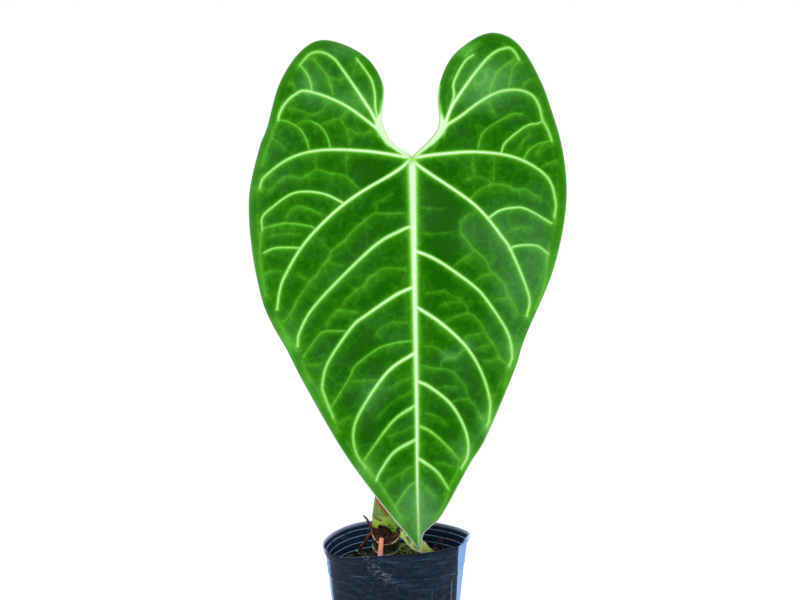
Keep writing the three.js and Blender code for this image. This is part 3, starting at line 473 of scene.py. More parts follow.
class Paint:
    """A material while it is put together on one Principled BSDF."""

    def __init__(self, name: str, roughness: float, specular: float, **constants: object) -> None:
        """Starts a material.

        Args:
            name: The material's name.
            roughness: Roughness where nothing is linked to it.
            specular: Specular level of the surface.
            **constants: Other sockets of the shader, with spaces as underscores.
        """
        self.material = bpy.data.materials.new(name)
        self.material.use_nodes = True
        self.tree = self.material.node_tree
        self.shader = self.tree.nodes["Principled BSDF"]
        self.shader.inputs["Roughness"].default_value = roughness
        self.shader.inputs["Specular IOR Level"].default_value = specular
        for key, value in constants.items():
            self.shader.inputs[key.replace("_", " ")].default_value = value
        self.place = self.add("ShaderNodeTexCoord", {}, {}, "Object")

    def add(self, kind: str, settings: dict, values: dict, output: Union[str, int] = 0) -> Signal:
        """Adds any node.

        Args:
            kind: The node's type.
            settings: Its properties, and a ramp's stops under "stops", set before its sockets.
            values: Values or signals of its input sockets, by name or index.
            output: Output that is handed back.

        Returns:
            The chosen output.
        """
        node = self.tree.nodes.new(kind)
        for key, value in settings.items():
            if key == "stops":
                self._set_stops(node.color_ramp, value)
            else:
                setattr(node, key, value)
        for key, value in values.items():
            if isinstance(value, Signal):
                self.tree.links.new(value.socket, node.inputs[key])
            else:
                node.inputs[key].default_value = value
        return Signal(self.tree, node.outputs[output])

    @staticmethod
    def _set_stops(ramp: bpy.types.ColorRamp, stops: Sequence[tuple[float, Colour]]) -> None:
        """Sets a ramp's stops.

        Args:
            ramp: The colour ramp.
            stops: Position and colour of each stop.
        """
        while len(ramp.elements) < len(stops):
            ramp.elements.new(1.0)
        for element, (position, colour) in zip(ramp.elements, stops):
            element.position = position
            element.color = colour

    def mark(self, name: str) -> Signal:
        """A number kept on the mesh's points under a name."""
        return self.add("ShaderNodeAttribute", {"attribute_name": name}, {}, "Fac")

    def axis(self, name: str) -> Signal:
        """X, Y or Z of the place on the object, in millimetres."""
        return self.add("ShaderNodeSeparateXYZ", {}, {0: self.place}, name) * 1000

    def stretched(self, scale: tuple[float, float, float]) -> Signal:
        """The place on the object, scaled on each axis."""
        return self.add("ShaderNodeMapping", {}, {"Vector": self.place, "Scale": scale})

    def grain(self, scale: float, detail: float = 3, where: Optional[Signal] = None,
              roughness: float = 0.55) -> Signal:
        """Soft noise from 0 to 1.

        Args:
            scale: Number of features in a metre.
            detail: Octaves.
            where: Coordinates, or the place on the object.
            roughness: Strength of the finer octaves.

        Returns:
            The noise's value.
        """
        values = {"Vector": where or self.place, "Scale": scale, "Detail": detail, "Roughness": roughness}
        return self.add("ShaderNodeTexNoise", {}, values, 0)

    def cells(self, scale: float, where: Optional[Signal] = None, feature: str = "F1") -> Signal:
        """Distances in a cell pattern.

        Args:
            scale: Number of cells in a metre.
            where: Coordinates, or the place on the object.
            feature: Which distance is given.

        Returns:
            The distance.
        """
        values = {"Vector": where or self.place, "Scale": scale}
        return self.add("ShaderNodeTexVoronoi", {"feature": feature}, values, "Distance")

    def mix(self, mask: Number, first: Tone, second: Tone) -> Signal:
        """Goes from one colour to another as a mask goes from 0 to 1.

        Args:
            mask: The mask.
            first: Colour at 0.
            second: Colour at 1.

        Returns:
            The mixed colour.
        """
        return self.add("ShaderNodeMix", {"data_type": "RGBA"}, {0: mask, 6: first, 7: second}, 2)

    def finish(self, colour: Tone, roughness: Optional[Signal] = None,
               height: Optional[Signal] = None, depth: float = 0.0) -> bpy.types.Material:
        """Links the finished signals to the shader.

        Args:
            colour: Base colour.
            roughness: Roughness, or nothing to keep the number given before.
            height: Relief for the surface, from 0 to 1.
            depth: Height of that relief in millimetres.

        Returns:
            The finished material.
        """
        if isinstance(colour, Signal):
            self.tree.links.new(colour.socket, self.shader.inputs["Base Color"])
        else:
            self.shader.inputs["Base Color"].default_value = colour
        if roughness is not None:
            self.tree.links.new(roughness.socket, self.shader.inputs["Roughness"])
        if height is not None:
            bump = self.add("ShaderNodeBump", {}, {"Height": height, "Distance": depth * MM})
            self.tree.links.new(bump.socket, self.shader.inputs["Normal"])
        return self.material


class Bench:
    """Modelling steps that several pieces share."""

    @staticmethod
    def clear() -> None:
        """Leaves edit mode and deselects everything."""
        if bpy.context.object and bpy.context.object.mode != "OBJECT":
            bpy.ops.object.mode_set(mode="OBJECT")
        bpy.ops.object.select_all(action="DESELECT")

    @staticmethod
    def pick(obj: bpy.types.Object) -> None:
        """Makes one object the only selected and the active one."""
        Bench.clear()
        obj.select_set(True)
        bpy.context.view_layer.objects.active = obj

    @staticmethod
    def from_points(name: str, points: Iterable, edges: Iterable = (),
                    faces: Iterable = ()) -> bpy.types.Object:
        """An object from points in metres.

        Args:
            name: The object's name.
            points: Places of the points.
            edges: Pairs of point indices.
            faces: Lists of point indices.

        Returns:
            The new object, selected and active.
        """
        mesh = bpy.data.meshes.new(name)
        mesh.from_pydata([tuple(p) for p in points], list(edges), list(faces))
        obj = bpy.data.objects.new(name, mesh)
        bpy.context.scene.collection.objects.link(obj)
        Bench.pick(obj)
        return obj

    @staticmethod
    def close_up(obj: bpy.types.Object) -> None:
        """Merges points within a micrometre and turns all faces outwards.

        Args:
            obj: The object.
        """
        Bench.pick(obj)
        bpy.ops.object.mode_set(mode="EDIT")
        bpy.ops.mesh.select_all(action="SELECT")
        bpy.ops.mesh.remove_doubles(threshold=1e-6)
        bpy.ops.mesh.normals_make_consistent(inside=False)
        bpy.ops.object.mode_set(mode="OBJECT")

    @staticmethod
    def turned(name: str, profile: Pairs, steps: int) -> bpy.types.Object:
        """Spins a profile round the Z axis into a closed form.

        Args:
            name: The object's name.
            profile: Radius and height of each point, in millimetres.
            steps: Number of steps round.

        Returns:
            The turned object.
        """
        points = [(r * MM, 0, z * MM) for r, z in profile]
        closed = profile[0][0] > 0
        edges = [(i, (i + 1) % len(points)) for i in range(len(points) - (0 if closed else 1))]
        obj = Bench.from_points(name, points, edges)
        bpy.ops.object.mode_set(mode="EDIT")
        bpy.ops.mesh.select_all(action="SELECT")
        bpy.ops.mesh.spin(steps=steps, angle=2 * math.pi, center=(0, 0, 0), axis=(0, 0, 1))
        bpy.ops.object.mode_set(mode="OBJECT")
        Bench.close_up(obj)
        return obj

    @staticmethod
    def tube(name: str, stations: Pairs, sides: int = 16, smoothness: int = 8) -> bpy.types.Object:
        """A round closed tube along a smooth line.

        Args:
            name: The object's name.
            stations: Place and radius of each point on the axis, in millimetres.
            sides: Faces round the tube.
            smoothness: Steps between two stations.

        Returns:
            The tube as a mesh.
        """
        Bench.clear()
        bpy.ops.curve.primitive_bezier_curve_add(location=(0, 0, 0))
        obj = bpy.context.object
        obj.name = name
        curve = obj.data
        curve.dimensions = "3D"
        curve.resolution_u = smoothness
        curve.bevel_depth = MM
        curve.bevel_resolution = max(1, sides // 4 - 1)
        curve.use_fill_caps = True
        spline = curve.splines[0]
        spline.bezier_points.add(len(stations) - 2)
        for point, (x, y, z, radius) in zip(spline.bezier_points, stations):
            point.co = Vector((x, y, z)) * MM
            point.radius = radius
            point.handle_left_type = "AUTO"
            point.handle_right_type = "AUTO"
        bpy.ops.object.convert(target="MESH")
        obj = bpy.context.object
        Bench.close_up(obj)
        return obj

    @staticmethod
    def shape(obj: bpy.types.Object, place: Place) -> bpy.types.Object:
        """Moves every point of a mesh to the place that a rule gives.

        Args:
            obj: The object.
            place: Gives a point's new place from its old one.

        Returns:
            The same object.
        """
        for vertex in obj.data.vertices:
            vertex.co = place(vertex.co.copy())
        obj.data.update()
        return obj

    @staticmethod
    def ruffle(obj: bpy.types.Object, height: float, size: float, seed: float = 0.0) -> None:
        """Pushes points in and out along their normals by soft noise.

        Args:
            obj: The object.
            height: Largest push in millimetres.
            size: Size of a bump in millimetres.
            seed: Shift of the noise.
        """
        normals = [vertex.normal.copy() for vertex in obj.data.vertices]
        for vertex, normal in zip(obj.data.vertices, normals):
            spot = vertex.co / (size * MM) + Vector((seed, seed * 1.7, -seed))
            vertex.co += normal * (noise.noise(spot) * height * MM)
        obj.data.update()

    @staticmethod
    def modify(obj: bpy.types.Object, kind: str, **settings: object) -> None:
        """Adds a modifier and applies it.

        Args:
            obj: The object.
            kind: The modifier's type.
            **settings: Its settings.
        """
        Bench.pick(obj)
        bpy.ops.object.modifier_add(type=kind)
        modifier = obj.modifiers[-1]
        for key, value in settings.items():
            setattr(modifier, key, value)
        bpy.ops.object.modifier_apply(modifier=modifier.name)

    @staticmethod
    def join(name: str, pieces: Sequence[bpy.types.Object]) -> bpy.types.Object:
        """Joins objects into one.

        Args:
            name: Name of the result.
            pieces: The objects.

        Returns:
            The joined object.
        """
        Bench.pick(pieces[0])
        for piece in pieces:
            piece.select_set(True)
        if len(pieces) > 1:
            bpy.ops.object.join()
        pieces[0].name = name
        return pieces[0]

    @staticmethod
    def copy_at(obj: bpy.types.Object, transform: Matrix) -> bpy.types.Object:
        """A copy with its own mesh, moved by a matrix.

        Args:
            obj: The object that is copied.
            transform: Where the copy goes.

        Returns:
            The copy.
        """
        twin = bpy.data.objects.new(obj.name, obj.data.copy())
        bpy.context.scene.collection.objects.link(twin)
        twin.data.transform(transform)
        return twin

    @staticmethod
    def keep(obj: bpy.types.Object, name: str, value: Callable[[bpy.types.MeshVertex], float]) -> None:
        """Keeps a number on each point for the material.

        Args:
            obj: The object.
            name: The number's name.
            value: Gives the number from a point.
        """
        values = [value(vertex) for vertex in obj.data.vertices]
        Bench.keep_all(obj, name, values)

    @staticmethod
    def keep_all(obj: bpy.types.Object, name: str, values: Sequence[float]) -> None:
        """Keeps one number of a list on each point."""
        layer = obj.data.attributes.new(name, "FLOAT", "POINT")
        layer.data.foreach_set("value", np.asarray(values, np.float32))

    @staticmethod
    def done(obj: bpy.types.Object, material: bpy.types.Material, slot: str, nodes: Sequence[str] = (),
             sharp: float = 40) -> bpy.types.Object:
        """Dresses a finished piece and seats it on the model.

        Args:
            obj: The piece.
            material: Its finish.
            slot: The record's slot that the finish stands for. Not used.
            nodes: Model nodes that it replaces.
            sharp: Edges over this angle in degrees stay sharp.

        Returns:
            The piece.
        """
        Bench.pick(obj)
        obj.data.materials.clear()
        obj.data.materials.append(material)
        bpy.ops.object.shade_smooth_by_angle(angle=math.radians(sharp))
        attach(obj, "root")
        if nodes:
            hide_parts(*nodes)
        LOG.info("%s: %d points, %d faces", obj.name, len(obj.data.vertices), len(obj.data.polygons))
        return obj


class VeinKind(Enum):
    """Kinds of vein, each with half width and softness at its start and end, rise and keel."""

    MIDRIB = ((2.1, 0.3), (1.9, 0.75), 0.5, 1.8)
    FIRST = ((1.15, 0.55), (0.8, 0.75), 0.4, 1.2)
    RIB = ((1.0, 0.5), (0.75, 0.75), 0.35, 1.1)
    BRANCH = ((0.5, 0.42), (0.7, 0.65), 0.2, 0.6)
    FAINT = ((0.3, 0.3), (1.0, 1.0), 0.05, 0.2)


@dataclass
class VeinLine:
    """A vein as points in the front view with the half width at each."""

    points: np.ndarray
    halves: np.ndarray
    rise: float
    keel: float
    strength: np.ndarray
    softness: np.ndarray

    @staticmethod
    def of(kind: VeinKind, first: float, last: float, path: Pairs, spacing: float) -> "VeinLine":
        """A vein of a kind along a path.

        Args:
            kind: The vein's kind.
            first: Brightness at its start.
            last: Brightness at its end.
            path: Points of the front view.
            spacing: Distance between its points in millimetres.

        Returns:
            The vein.
        """
        (start, end), (soft, crisp), rise, keel = kind.value
        points = smooth_line(path, spacing)
        part = np.linspace(0, 1, len(points))
        if kind is VeinKind.FIRST:
            halves = end + (start - end) * np.exp(-((part / 0.3) ** 2))
        else:
            halves = start + (end - start) * part**0.7
        if kind is VeinKind.MIDRIB:
            halves = halves * (1 - 0.6 * np.exp(-((part / 0.015) ** 2)))
        strength = (first + (last - first) * part**1.5) * (0.8 if kind is VeinKind.FAINT else 1)
        return VeinLine(points, halves, rise, keel, strength, soft + (crisp - soft) * part)


@dataclass(frozen=True)
class BladeFinish:
    """Velvety green face with pale veins, and a paler matt back."""

    tones: tuple[tuple[float, Colour], ...] = (
        (0.0, srgb(20, 85, 0)), (0.07, srgb(35, 104, 2)), (0.15, srgb(50, 125, 12)),
        (0.24, srgb(69, 150, 27)), (0.32, srgb(84, 167, 40)), (0.4, srgb(100, 181, 55)),
        (0.54, srgb(125, 199, 84)),
        (0.68, srgb(153, 208, 120)), (0.83, srgb(181, 224, 159)), (1.0, srgb(211, 231, 201)),
    )
    painted_cool_sheen: Colour = srgb(112, 150, 128)
    edge: Colour = srgb(79, 137, 76)
    # Colour of the painted pale highlight along the lower margin.
    rim: Colour = srgb(212, 228, 210)
    bare: Colour = srgb(140, 176, 84)
    knot: Colour = srgb(132, 200, 60)
    under: Colour = srgb(78, 142, 60)
    under_vein: Colour = srgb(170, 208, 130)
    fall: float = 1.25

    def material(self) -> bpy.types.Material:
        """The finish as a material."""
        paint = Paint("leaf_blade", 0.55, 0.02)
        reach, margin, bare = paint.mark("reach"), paint.mark("margin"), paint.mark("bare")
        under, across, height = paint.mark("under"), paint.axis("X"), paint.axis("Z")
        mottle = paint.grain(180, 4, roughness=0.65)
        fine = paint.grain(520, 4, roughness=0.7)
        values = {"W": paint.mark("along") * 0.8, "Scale": 1.0, "Detail": 3.0, "Roughness": 0.7}
        hairs = paint.add("ShaderNodeTexNoise", {"noise_dimensions": "1D"}, values, 0) - 0.5
        fuzzy = reach + ((fine - 0.5) * 0.7 + hairs * 1.6) * reach.step(0, 1.6)
        light = (fuzzy.maths("MAXIMUM", fuzzy, 0.0) ** self.fall).fading(1.0)
        haze = reach.fading(4.0)
        warp = paint.add("ShaderNodeTexNoise", {}, {"Vector": paint.place, "Scale": 45.0, "Detail": 2.0}, 1)
        bent = paint.add("ShaderNodeVectorMath", {"operation": "MULTIPLY_ADD"},
                         {0: warp, 1: (0.012, 0.012, 0.012), 2: paint.place}, 0)
        net = paint.cells(62, bent, "DISTANCE_TO_EDGE").step(0.15, 0.0) * 0.04
        net = net + paint.cells(150, bent, "DISTANCE_TO_EDGE").step(0.2, 0.0) * 0.02
        net = net * mottle.step(0.25, 0.6) * margin.step(3, 9)
        clouds = paint.grain(30, 3)
        tone = paint.mark("tone") - 0.016 + (clouds - 0.5) * 0.1 + (mottle - 0.5) * 0.12 + (fine - 0.5) * 0.06
        # Pale glow round the veins, with painted light on the lamina just below each vein, where it faces up.
        glow = reach.fading(5.0) * (paint.mark("painted_light_below") * 0.1 + 0.19)
        tone = tone + net + glow + margin.fading(10.0) * 0.05
        tone = tone + hairs * reach.fading(6.0) * 0.16
        tone = tone + margin.fading(3.2) * 0.13 + margin.near(7.0, 1.6) * 0.05 * mottle.step(0.3, 0.6)
        tone = tone + (1 - tone) * light
        streaks = (margin * 3.4 + fine * 0.8).maths("SINE") * 0.09
        tone = tone + (0.93 + streaks - tone) * bare
        face = paint.add("ShaderNodeValToRGB", {"stops": self.tones}, {0: tone}, 0)
        # Painted cool sheen from the patches and from soft noise, kept off the veins.
        painted_cool_sheen = paint.mark("painted_cool_sheen") * 0.42 + paint.grain(24, 3).step(0.45, 0.7) * 0.035
        face = paint.mix(painted_cool_sheen * (1 - light), face, self.painted_cool_sheen)
        face = paint.mix(margin.step(1.6, 0.2) * (1 - bare) * 0.6, face, self.edge)
        # Painted pale highlight along the margin of the lower blade.
        pale = margin.step(1.2, 0.2) * height.step(250, 170) * 0.9
        face = paint.mix(pale, face, self.rim)
        right = (across - 12.1).step(-1, 2) * 0.7 + 0.2
        face = paint.mix(bare * margin.step(1.2, 0.3) * right, face, self.bare)
        knot = ((across - 12.1) ** 2 + (height - 413) ** 2).fading(12.0)
        face = paint.mix(knot * 0.9, face, self.knot)
        back = paint.mix(mottle * 0.3 + haze * 0.4, self.under, self.under_vein)
        back = paint.mix(light * 0.9, back, self.under_vein)
        colour = paint.mix(under, face, back)
        relief = fine * 0.35 + mottle * 0.4 - net * 6
        rough = 0.5 + fine * 0.12 - light * 0.1 + under * 0.15
        return paint.finish(colour, rough, relief, 0.2)


@dataclass
class LeafBlade:
    """The large blade: arched, with sides that fall back, a waved margin and raised veins."""

    eye: tuple[float, float, float] = (2.2, -1000.0, 371.7)
    pitch: float = math.radians(4.16)
    notch: tuple[float, float, float] = (12.1, 0.0, 413.7)
    arch: float = 36.0
    arch_length: float = 438.0
    side_fall: float = 14.0
    side_half: float = 130.0
    thickness: float = 0.8
    edge_spacing: float = 1.6
    vein_spacing: float = 1.8
    open_spacing: float = 2.3
    faint_share: float = 0.32
    finish: BladeFinish = field(default_factory=BladeFinish)

    def build(self) -> bpy.types.Object:
        """Builds and dresses the blade.

        Returns:
            The blade.
        """
        sides = (LEFT_SIDE, RIGHT_SIDE)
        self.outline = np.vstack([smooth_line(side, self.edge_spacing)[:-1] for side in sides])
        self.veins = self._veins()
        self.main_veins = len(self.veins)
        for strength, *path in FAINT:
            bright = two_digits(strength * self.faint_share)
            self.veins.append(VeinLine.of(VeinKind.FAINT, bright, bright * 0.8, path, self.vein_spacing))
        points, triangles = self._triangulate(self._points())
        fields = self._fields(points)
        front, back = self._surfaces(points, fields)
        count = len(points)
        faces = [tuple(t) for t in triangles] + [tuple(count + i for i in t[::-1]) for t in triangles]
        faces += self._rim_faces(triangles, count)
        obj = Bench.from_points("leaf_blade_visual", np.vstack([front, back]) * MM, (), faces)
        for name in ("reach", "along", "painted_light_below", "margin", "bare", "tone", "painted_cool_sheen"):
            Bench.keep_all(obj, name, np.concatenate([fields[name], fields[name]]))
        Bench.keep_all(obj, "under", np.concatenate([np.zeros(count), np.ones(count)]))
        return Bench.done(obj, self.finish.material(), "blade", ["leaf_blade"], 60)

    def _veins(self) -> list[VeinLine]:
        """All the veins that stand out."""
        ribs = [*LEFT_RIBS, *RIGHT_RIBS]
        first = (LEFT_RIBS[0], RIGHT_RIBS[0])
        kinds = [VeinKind.FIRST if rib in first else VeinKind.RIB for rib in ribs]
        found = [VeinLine.of(VeinKind.MIDRIB, 1.0, 0.88, MIDRIB, self.vein_spacing)]
        jobs = [*zip(kinds, ribs), *((VeinKind.BRANCH, branch) for branch in BRANCHES)]
        for kind, (start, end, *path) in jobs:
            found.append(VeinLine.of(kind, start, end, path, self.vein_spacing))
        return found

    def _points(self) -> np.ndarray:
        """Points of the front view: margin, rows along the veins, then the open lamina.

        Returns:
            One row for each point.
        """
        candidates = [(self.outline, 0.0, 0.0)]
        for vein in self.veins:
            candidates.append((vein.points, 0.7, 0.6))
        rows = [(vein, extra) for extra in (0.0, 0.8, 2.0) for vein in self.veins[:self.main_veins]]
        rows += [(vein, 1.1) for vein in self.veins[self.main_veins:]]
        for vein, extra in rows:
            along = np.gradient(vein.points, axis=0)
            along /= np.linalg.norm(along, axis=1)[:, None]
            across = np.column_stack([-along[:, 1], along[:, 0]])
            for side in (-1, 1):
                row = vein.points + across * side * (vein.halves + extra)[:, None]
                candidates.append((row, 0.42 if extra < 1 else 0.9, 0.45))
        inner = self._inset((0.7, 2.0, 3.8, 6.2))
        candidates += [(row, 0.9, 0.4) for row in inner]
        draw = random.Random(7)
        step = self.open_spacing
        rows = np.arange(-320, 105, step * 0.87)
        grid = [
            (x + 0.3 * step * (draw.random() - 0.5), y + 0.3 * step * (draw.random() - 0.5))
            for k, y in enumerate(rows) for x in np.arange(-135 + (k % 2) * step / 2, 130, step)
        ]
        candidates.append((np.array(grid), 0.78 * step, 1.2))
        return self._thinned(candidates)

    def _inset(self, depths: Sequence[float]) -> list[np.ndarray]:
        """Rows that run inside the margin.

        Args:
            depths: Distance of each row from the margin.

        Returns:
            The rows.
        """
        along = np.roll(self.outline, -1, axis=0) - np.roll(self.outline, 1, axis=0)
        along /= np.linalg.norm(along, axis=1)[:, None]
        inward = np.column_stack([along[:, 1], -along[:, 0]])
        area = np.sum(self.outline[:, 0] * np.roll(self.outline[:, 1], -1)
                      - self.outline[:, 1] * np.roll(self.outline[:, 0], -1))
        turn = -1.0 if area > 0 else 1.0
        return [self.outline + turn * depth * inward for depth in depths]

    def _thinned(self, candidates: Sequence[tuple[np.ndarray, float, float]]) -> np.ndarray:
        """Keeps the candidates that have room, first come first served.

        Args:
            candidates: Rows of points, the room that each needs, and its least distance from the margin.

        Returns:
            The kept points.
        """
        cell = 2.0
        kept: list[tuple[float, float]] = []
        grid: dict[tuple[int, int], list[tuple[float, float]]] = {}
        for row, room, clear in candidates:
            if clear > 0:
                row = row[self._inside(row)]
                row = row[self._to_lines(row, self.outline, True) > clear]
            for x, y in row:
                i, j = int(x // cell), int(y // cell)
                around = (
                    other for a in (i - 1, i, i + 1) for b in (j - 1, j, j + 1)
                    for other in grid.get((a, b), ())
                )
                if all((x - u) ** 2 + (y - v) ** 2 > room * room for u, v in around):
                    kept.append((x, y))
                    grid.setdefault((i, j), []).append((x, y))
        return np.array(kept)

    def _inside(self, points: np.ndarray) -> np.ndarray:
        """Whether points of the front view lie inside the outline.

        Args:
            points: The points.

        Returns:
            True or False for each.
        """
        inside = np.zeros(len(points), bool)
        ends = np.roll(self.outline, -1, axis=0)
        for (ax, ay), (bx, by) in zip(self.outline, ends):
            if ay == by:
                continue
            crosses = (ay > points[:, 1]) != (by > points[:, 1])
            limit = ax + (points[:, 1] - ay) / (by - ay) * (bx - ax)
            inside ^= crosses & (points[:, 0] < limit)
        return inside

    @staticmethod
    def _to_lines(points: np.ndarray, line: np.ndarray, closed: bool) -> np.ndarray:
        """Distance from points to one line.

        Args:
            points: The points.
            line: Points of the line.
            closed: Whether it runs back to its start.

        Returns:
            The distances.
        """
        ends = np.roll(line, -1, axis=0) if closed else line[1:]
        starts = line if closed else line[:-1]
        found = [LeafBlade._distances(part, starts, ends)[0].min(axis=1)
                 for part in np.array_split(points, max(1, len(points) // 3000))]
        return np.concatenate(found)

    @staticmethod
    def _distances(points: np.ndarray, starts: np.ndarray, ends: np.ndarray) -> tuple[np.ndarray, np.ndarray]:
        """Distances from each point to each segment.

        Args:
            points: The points.
            starts: Starts of the segments.
            ends: Ends of the segments.

        Returns:
            The distances, and where along each segment the nearest place is, from 0 to 1.
        """
        run = ends - starts
        offset = points[:, None, :] - starts[None, :, :]
        part = np.clip((offset * run).sum(axis=2) / (run * run).sum(axis=1), 0, 1)
        gap = offset - part[:, :, None] * run
        return np.sqrt((gap * gap).sum(axis=2)), part

    def _triangulate(self, points: np.ndarray) -> tuple[np.ndarray, np.ndarray]:
        """Triangles over the front view, inside the outline.

        Args:
            points: The points, with the outline's first.

        Returns:
            The points and the triangles as the triangulation orders them.
        """
        size = len(self.outline)
        edges = [(i, (i + 1) % size) for i in range(size)]
        result = delaunay_2d_cdt([Vector(p) for p in points], edges, [], 1, 1e-5)
        placed = np.array([tuple(p) for p in result[0]])
        triangles = np.array([face for face in result[2] if len(face) == 3])
        a, b, c = (placed[triangles[:, k]] for k in range(3))
        area = (b[:, 0] - a[:, 0]) * (c[:, 1] - a[:, 1]) - (b[:, 1] - a[:, 1]) * (c[:, 0] - a[:, 0])
        turned = area < 0
        triangles[turned] = triangles[turned][:, ::-1]
        return placed, triangles

    def _fields(self, points: np.ndarray) -> dict[str, np.ndarray]:
        """What the veins and the margin do at each point.

        Args:
            points: Points of the front view.

        Returns:
            Named numbers for each point.
        """
        segments = []
        for i, vein in enumerate(self.veins):
            loss = -np.log(np.clip(vein.strength * 1.08, 0.01, 1))
            shared = np.ones(len(vein.points) - 1)
            lengths = np.linalg.norm(np.diff(vein.points, axis=0), axis=1)
            segments.append(np.column_stack([
                vein.points[:-1], vein.points[1:], vein.halves[:-1], vein.halves[1:], loss[:-1], loss[1:],
                shared * vein.rise, shared * vein.keel, vein.softness[:-1],
                np.cumsum(lengths) - lengths + 37 * i, lengths,
            ]))
        table = np.vstack(segments)
        starts, ends = table[:, 0:2], table[:, 2:4]
        half_start, half_end, loss_start, loss_end, rise, keel, softness, passed, lengths = table[:, 4:].T
        fall = self.finish.fall
        names = ("reach", "along", "painted_light_below", "rise", "keel", "gap")
        found: dict[str, list[np.ndarray]] = {name: [] for name in names}
        for part in np.array_split(points, max(1, len(points) // 1000)):
            distance, where = self._distances(part, starts, ends)
            half = half_start + (half_end - half_start) * where
            loss = loss_start + (loss_end - loss_start) * where
            dome = np.clip(1 - distance / half / 1.9, 0, 1) ** 1.4
            away = np.maximum(distance - half + 0.3, 0) / softness
            cost = away**fall + loss
            nearest, rows = cost.argmin(axis=1), np.arange(len(part))
            found["reach"].append(cost[rows, nearest] ** (1 / fall))
            share = where[rows, nearest]
            found["along"].append(passed[nearest] + share * lengths[nearest])
            # Painted light below the veins: how far a point lies below the veins near it, weighted by their
            # strength.
            weight = np.exp(-away / 2 - loss)
            way = starts[:, 1] + (ends[:, 1] - starts[:, 1]) * where - part[:, 1:2]
            found["painted_light_below"].append((weight * way / np.maximum(distance, 0.8)).sum(axis=1) / weight.sum(axis=1))
            found["rise"].append((dome * rise).max(axis=1))
            found["keel"].append((dome * keel).max(axis=1))
            found["gap"].append(distance.min(axis=1))
        fields = {key: np.concatenate(value) for key, value in found.items()}
        x, y = points[:, 0], points[:, 1]
        fields["reach"] += 0.3 * np.exp(-(x * x + y * y) / 10)
        fields["margin"] = self._to_lines(points, self.outline, True)
        side, up = self.outline.T
        around = self.outline[(np.abs(side) < 26) & (up > 1) & (up < 60)]
        left, right = around[around[:, 0] <= 0], around[around[:, 0] >= 0]
        sinus = np.minimum(self._to_lines(points, left[np.argsort(left[:, 1])], False),
                           self._to_lines(points, right[np.argsort(right[:, 1])], False))
        width = np.interp(y, [-2, 3, 12, 26, 36, 50, 60], [0, 2, 5, 7, 2.2, 1.2, 0])
        fields["bare"] = np.clip((width - sinus) / 1.8 + 0.4, 0, 1) * (width > 0)
        fields["tone"], fields["painted_cool_sheen"] = np.zeros(len(points)), np.zeros(len(points))
        for across, up, wide, high, change, painted_cool_sheen in PAINTED_SHEEN_AND_TONE_PATCHES:
            weight = np.exp(-(((x - across) / wide) ** 2) - ((y - up) / high) ** 2)
            fields["tone"] += change * weight
            fields["painted_cool_sheen"] += painted_cool_sheen * weight
        return fields

    def _surfaces(self, points: np.ndarray, fields: dict[str, np.ndarray]) -> tuple[np.ndarray, np.ndarray]:
        """Front and back of the blade.

        Args:
            points: Points of the front view.
            fields: What veins and margin do at each point.

        Returns:
            Places of the front and of the back points, in millimetres.
        """
        x, y = points[:, 0], points[:, 1]
        rim = np.exp(-fields["margin"] / 11)
        depth = self.arch * np.sin(np.pi * y / self.arch_length) + self.side_fall * (x / self.side_half) ** 2
        depth += rim * (2.5 + 2.4 * np.sin(y / 9.5 + x / 25))
        depth -= 1.5 * (1 - np.exp(-((fields["gap"] / 7) ** 2))) * (1 - rim)
        quilt = 0.35 * (1 - np.exp(-((fields["gap"] / 3.2) ** 2)))
        half = self.thickness / 2 * (0.35 + 0.65 * np.clip(fields["margin"] / 1.2, 0, 1))
        front = self._on_sight_line(x, y, depth - half - fields["rise"] - quilt * (1 - rim))
        back = self._on_sight_line(x, y, depth + half + fields["keel"] - quilt * (1 - rim))
        return front, back

    def _on_sight_line(self, across: np.ndarray, up: np.ndarray, depth: np.ndarray) -> np.ndarray:
        """Points of the front view, moved along their sight lines to their depth.

        Args:
            across: Distances to the right of the notch.
            up: Distances above it.
            depth: Depth of each point.

        Returns:
            Places in millimetres.
        """
        eye, notch = np.array(self.eye), np.array(self.notch)
        steps = np.column_stack([across, up * math.sin(self.pitch), up * math.cos(self.pitch)])
        seen = notch + steps
        reach = (depth - eye[1]) / (seen[:, 1] - eye[1])
        return eye + (seen - eye) * reach[:, None]

    @staticmethod
    def _rim_faces(triangles: np.ndarray, count: int) -> list[tuple[int, ...]]:
        """Faces that close the sheet round its margin.

        Args:
            triangles: Triangles of the front.
            count: Number of the front's points.

        Returns:
            The rim's faces.
        """
        edges = {(int(t[i]), int(t[(i + 1) % 3])) for t in triangles for i in range(3)}
        open_edges = sorted(edge for edge in edges if (edge[1], edge[0]) not in edges)
        return [(b, a, count + a, count + b) for a, b in open_edges]


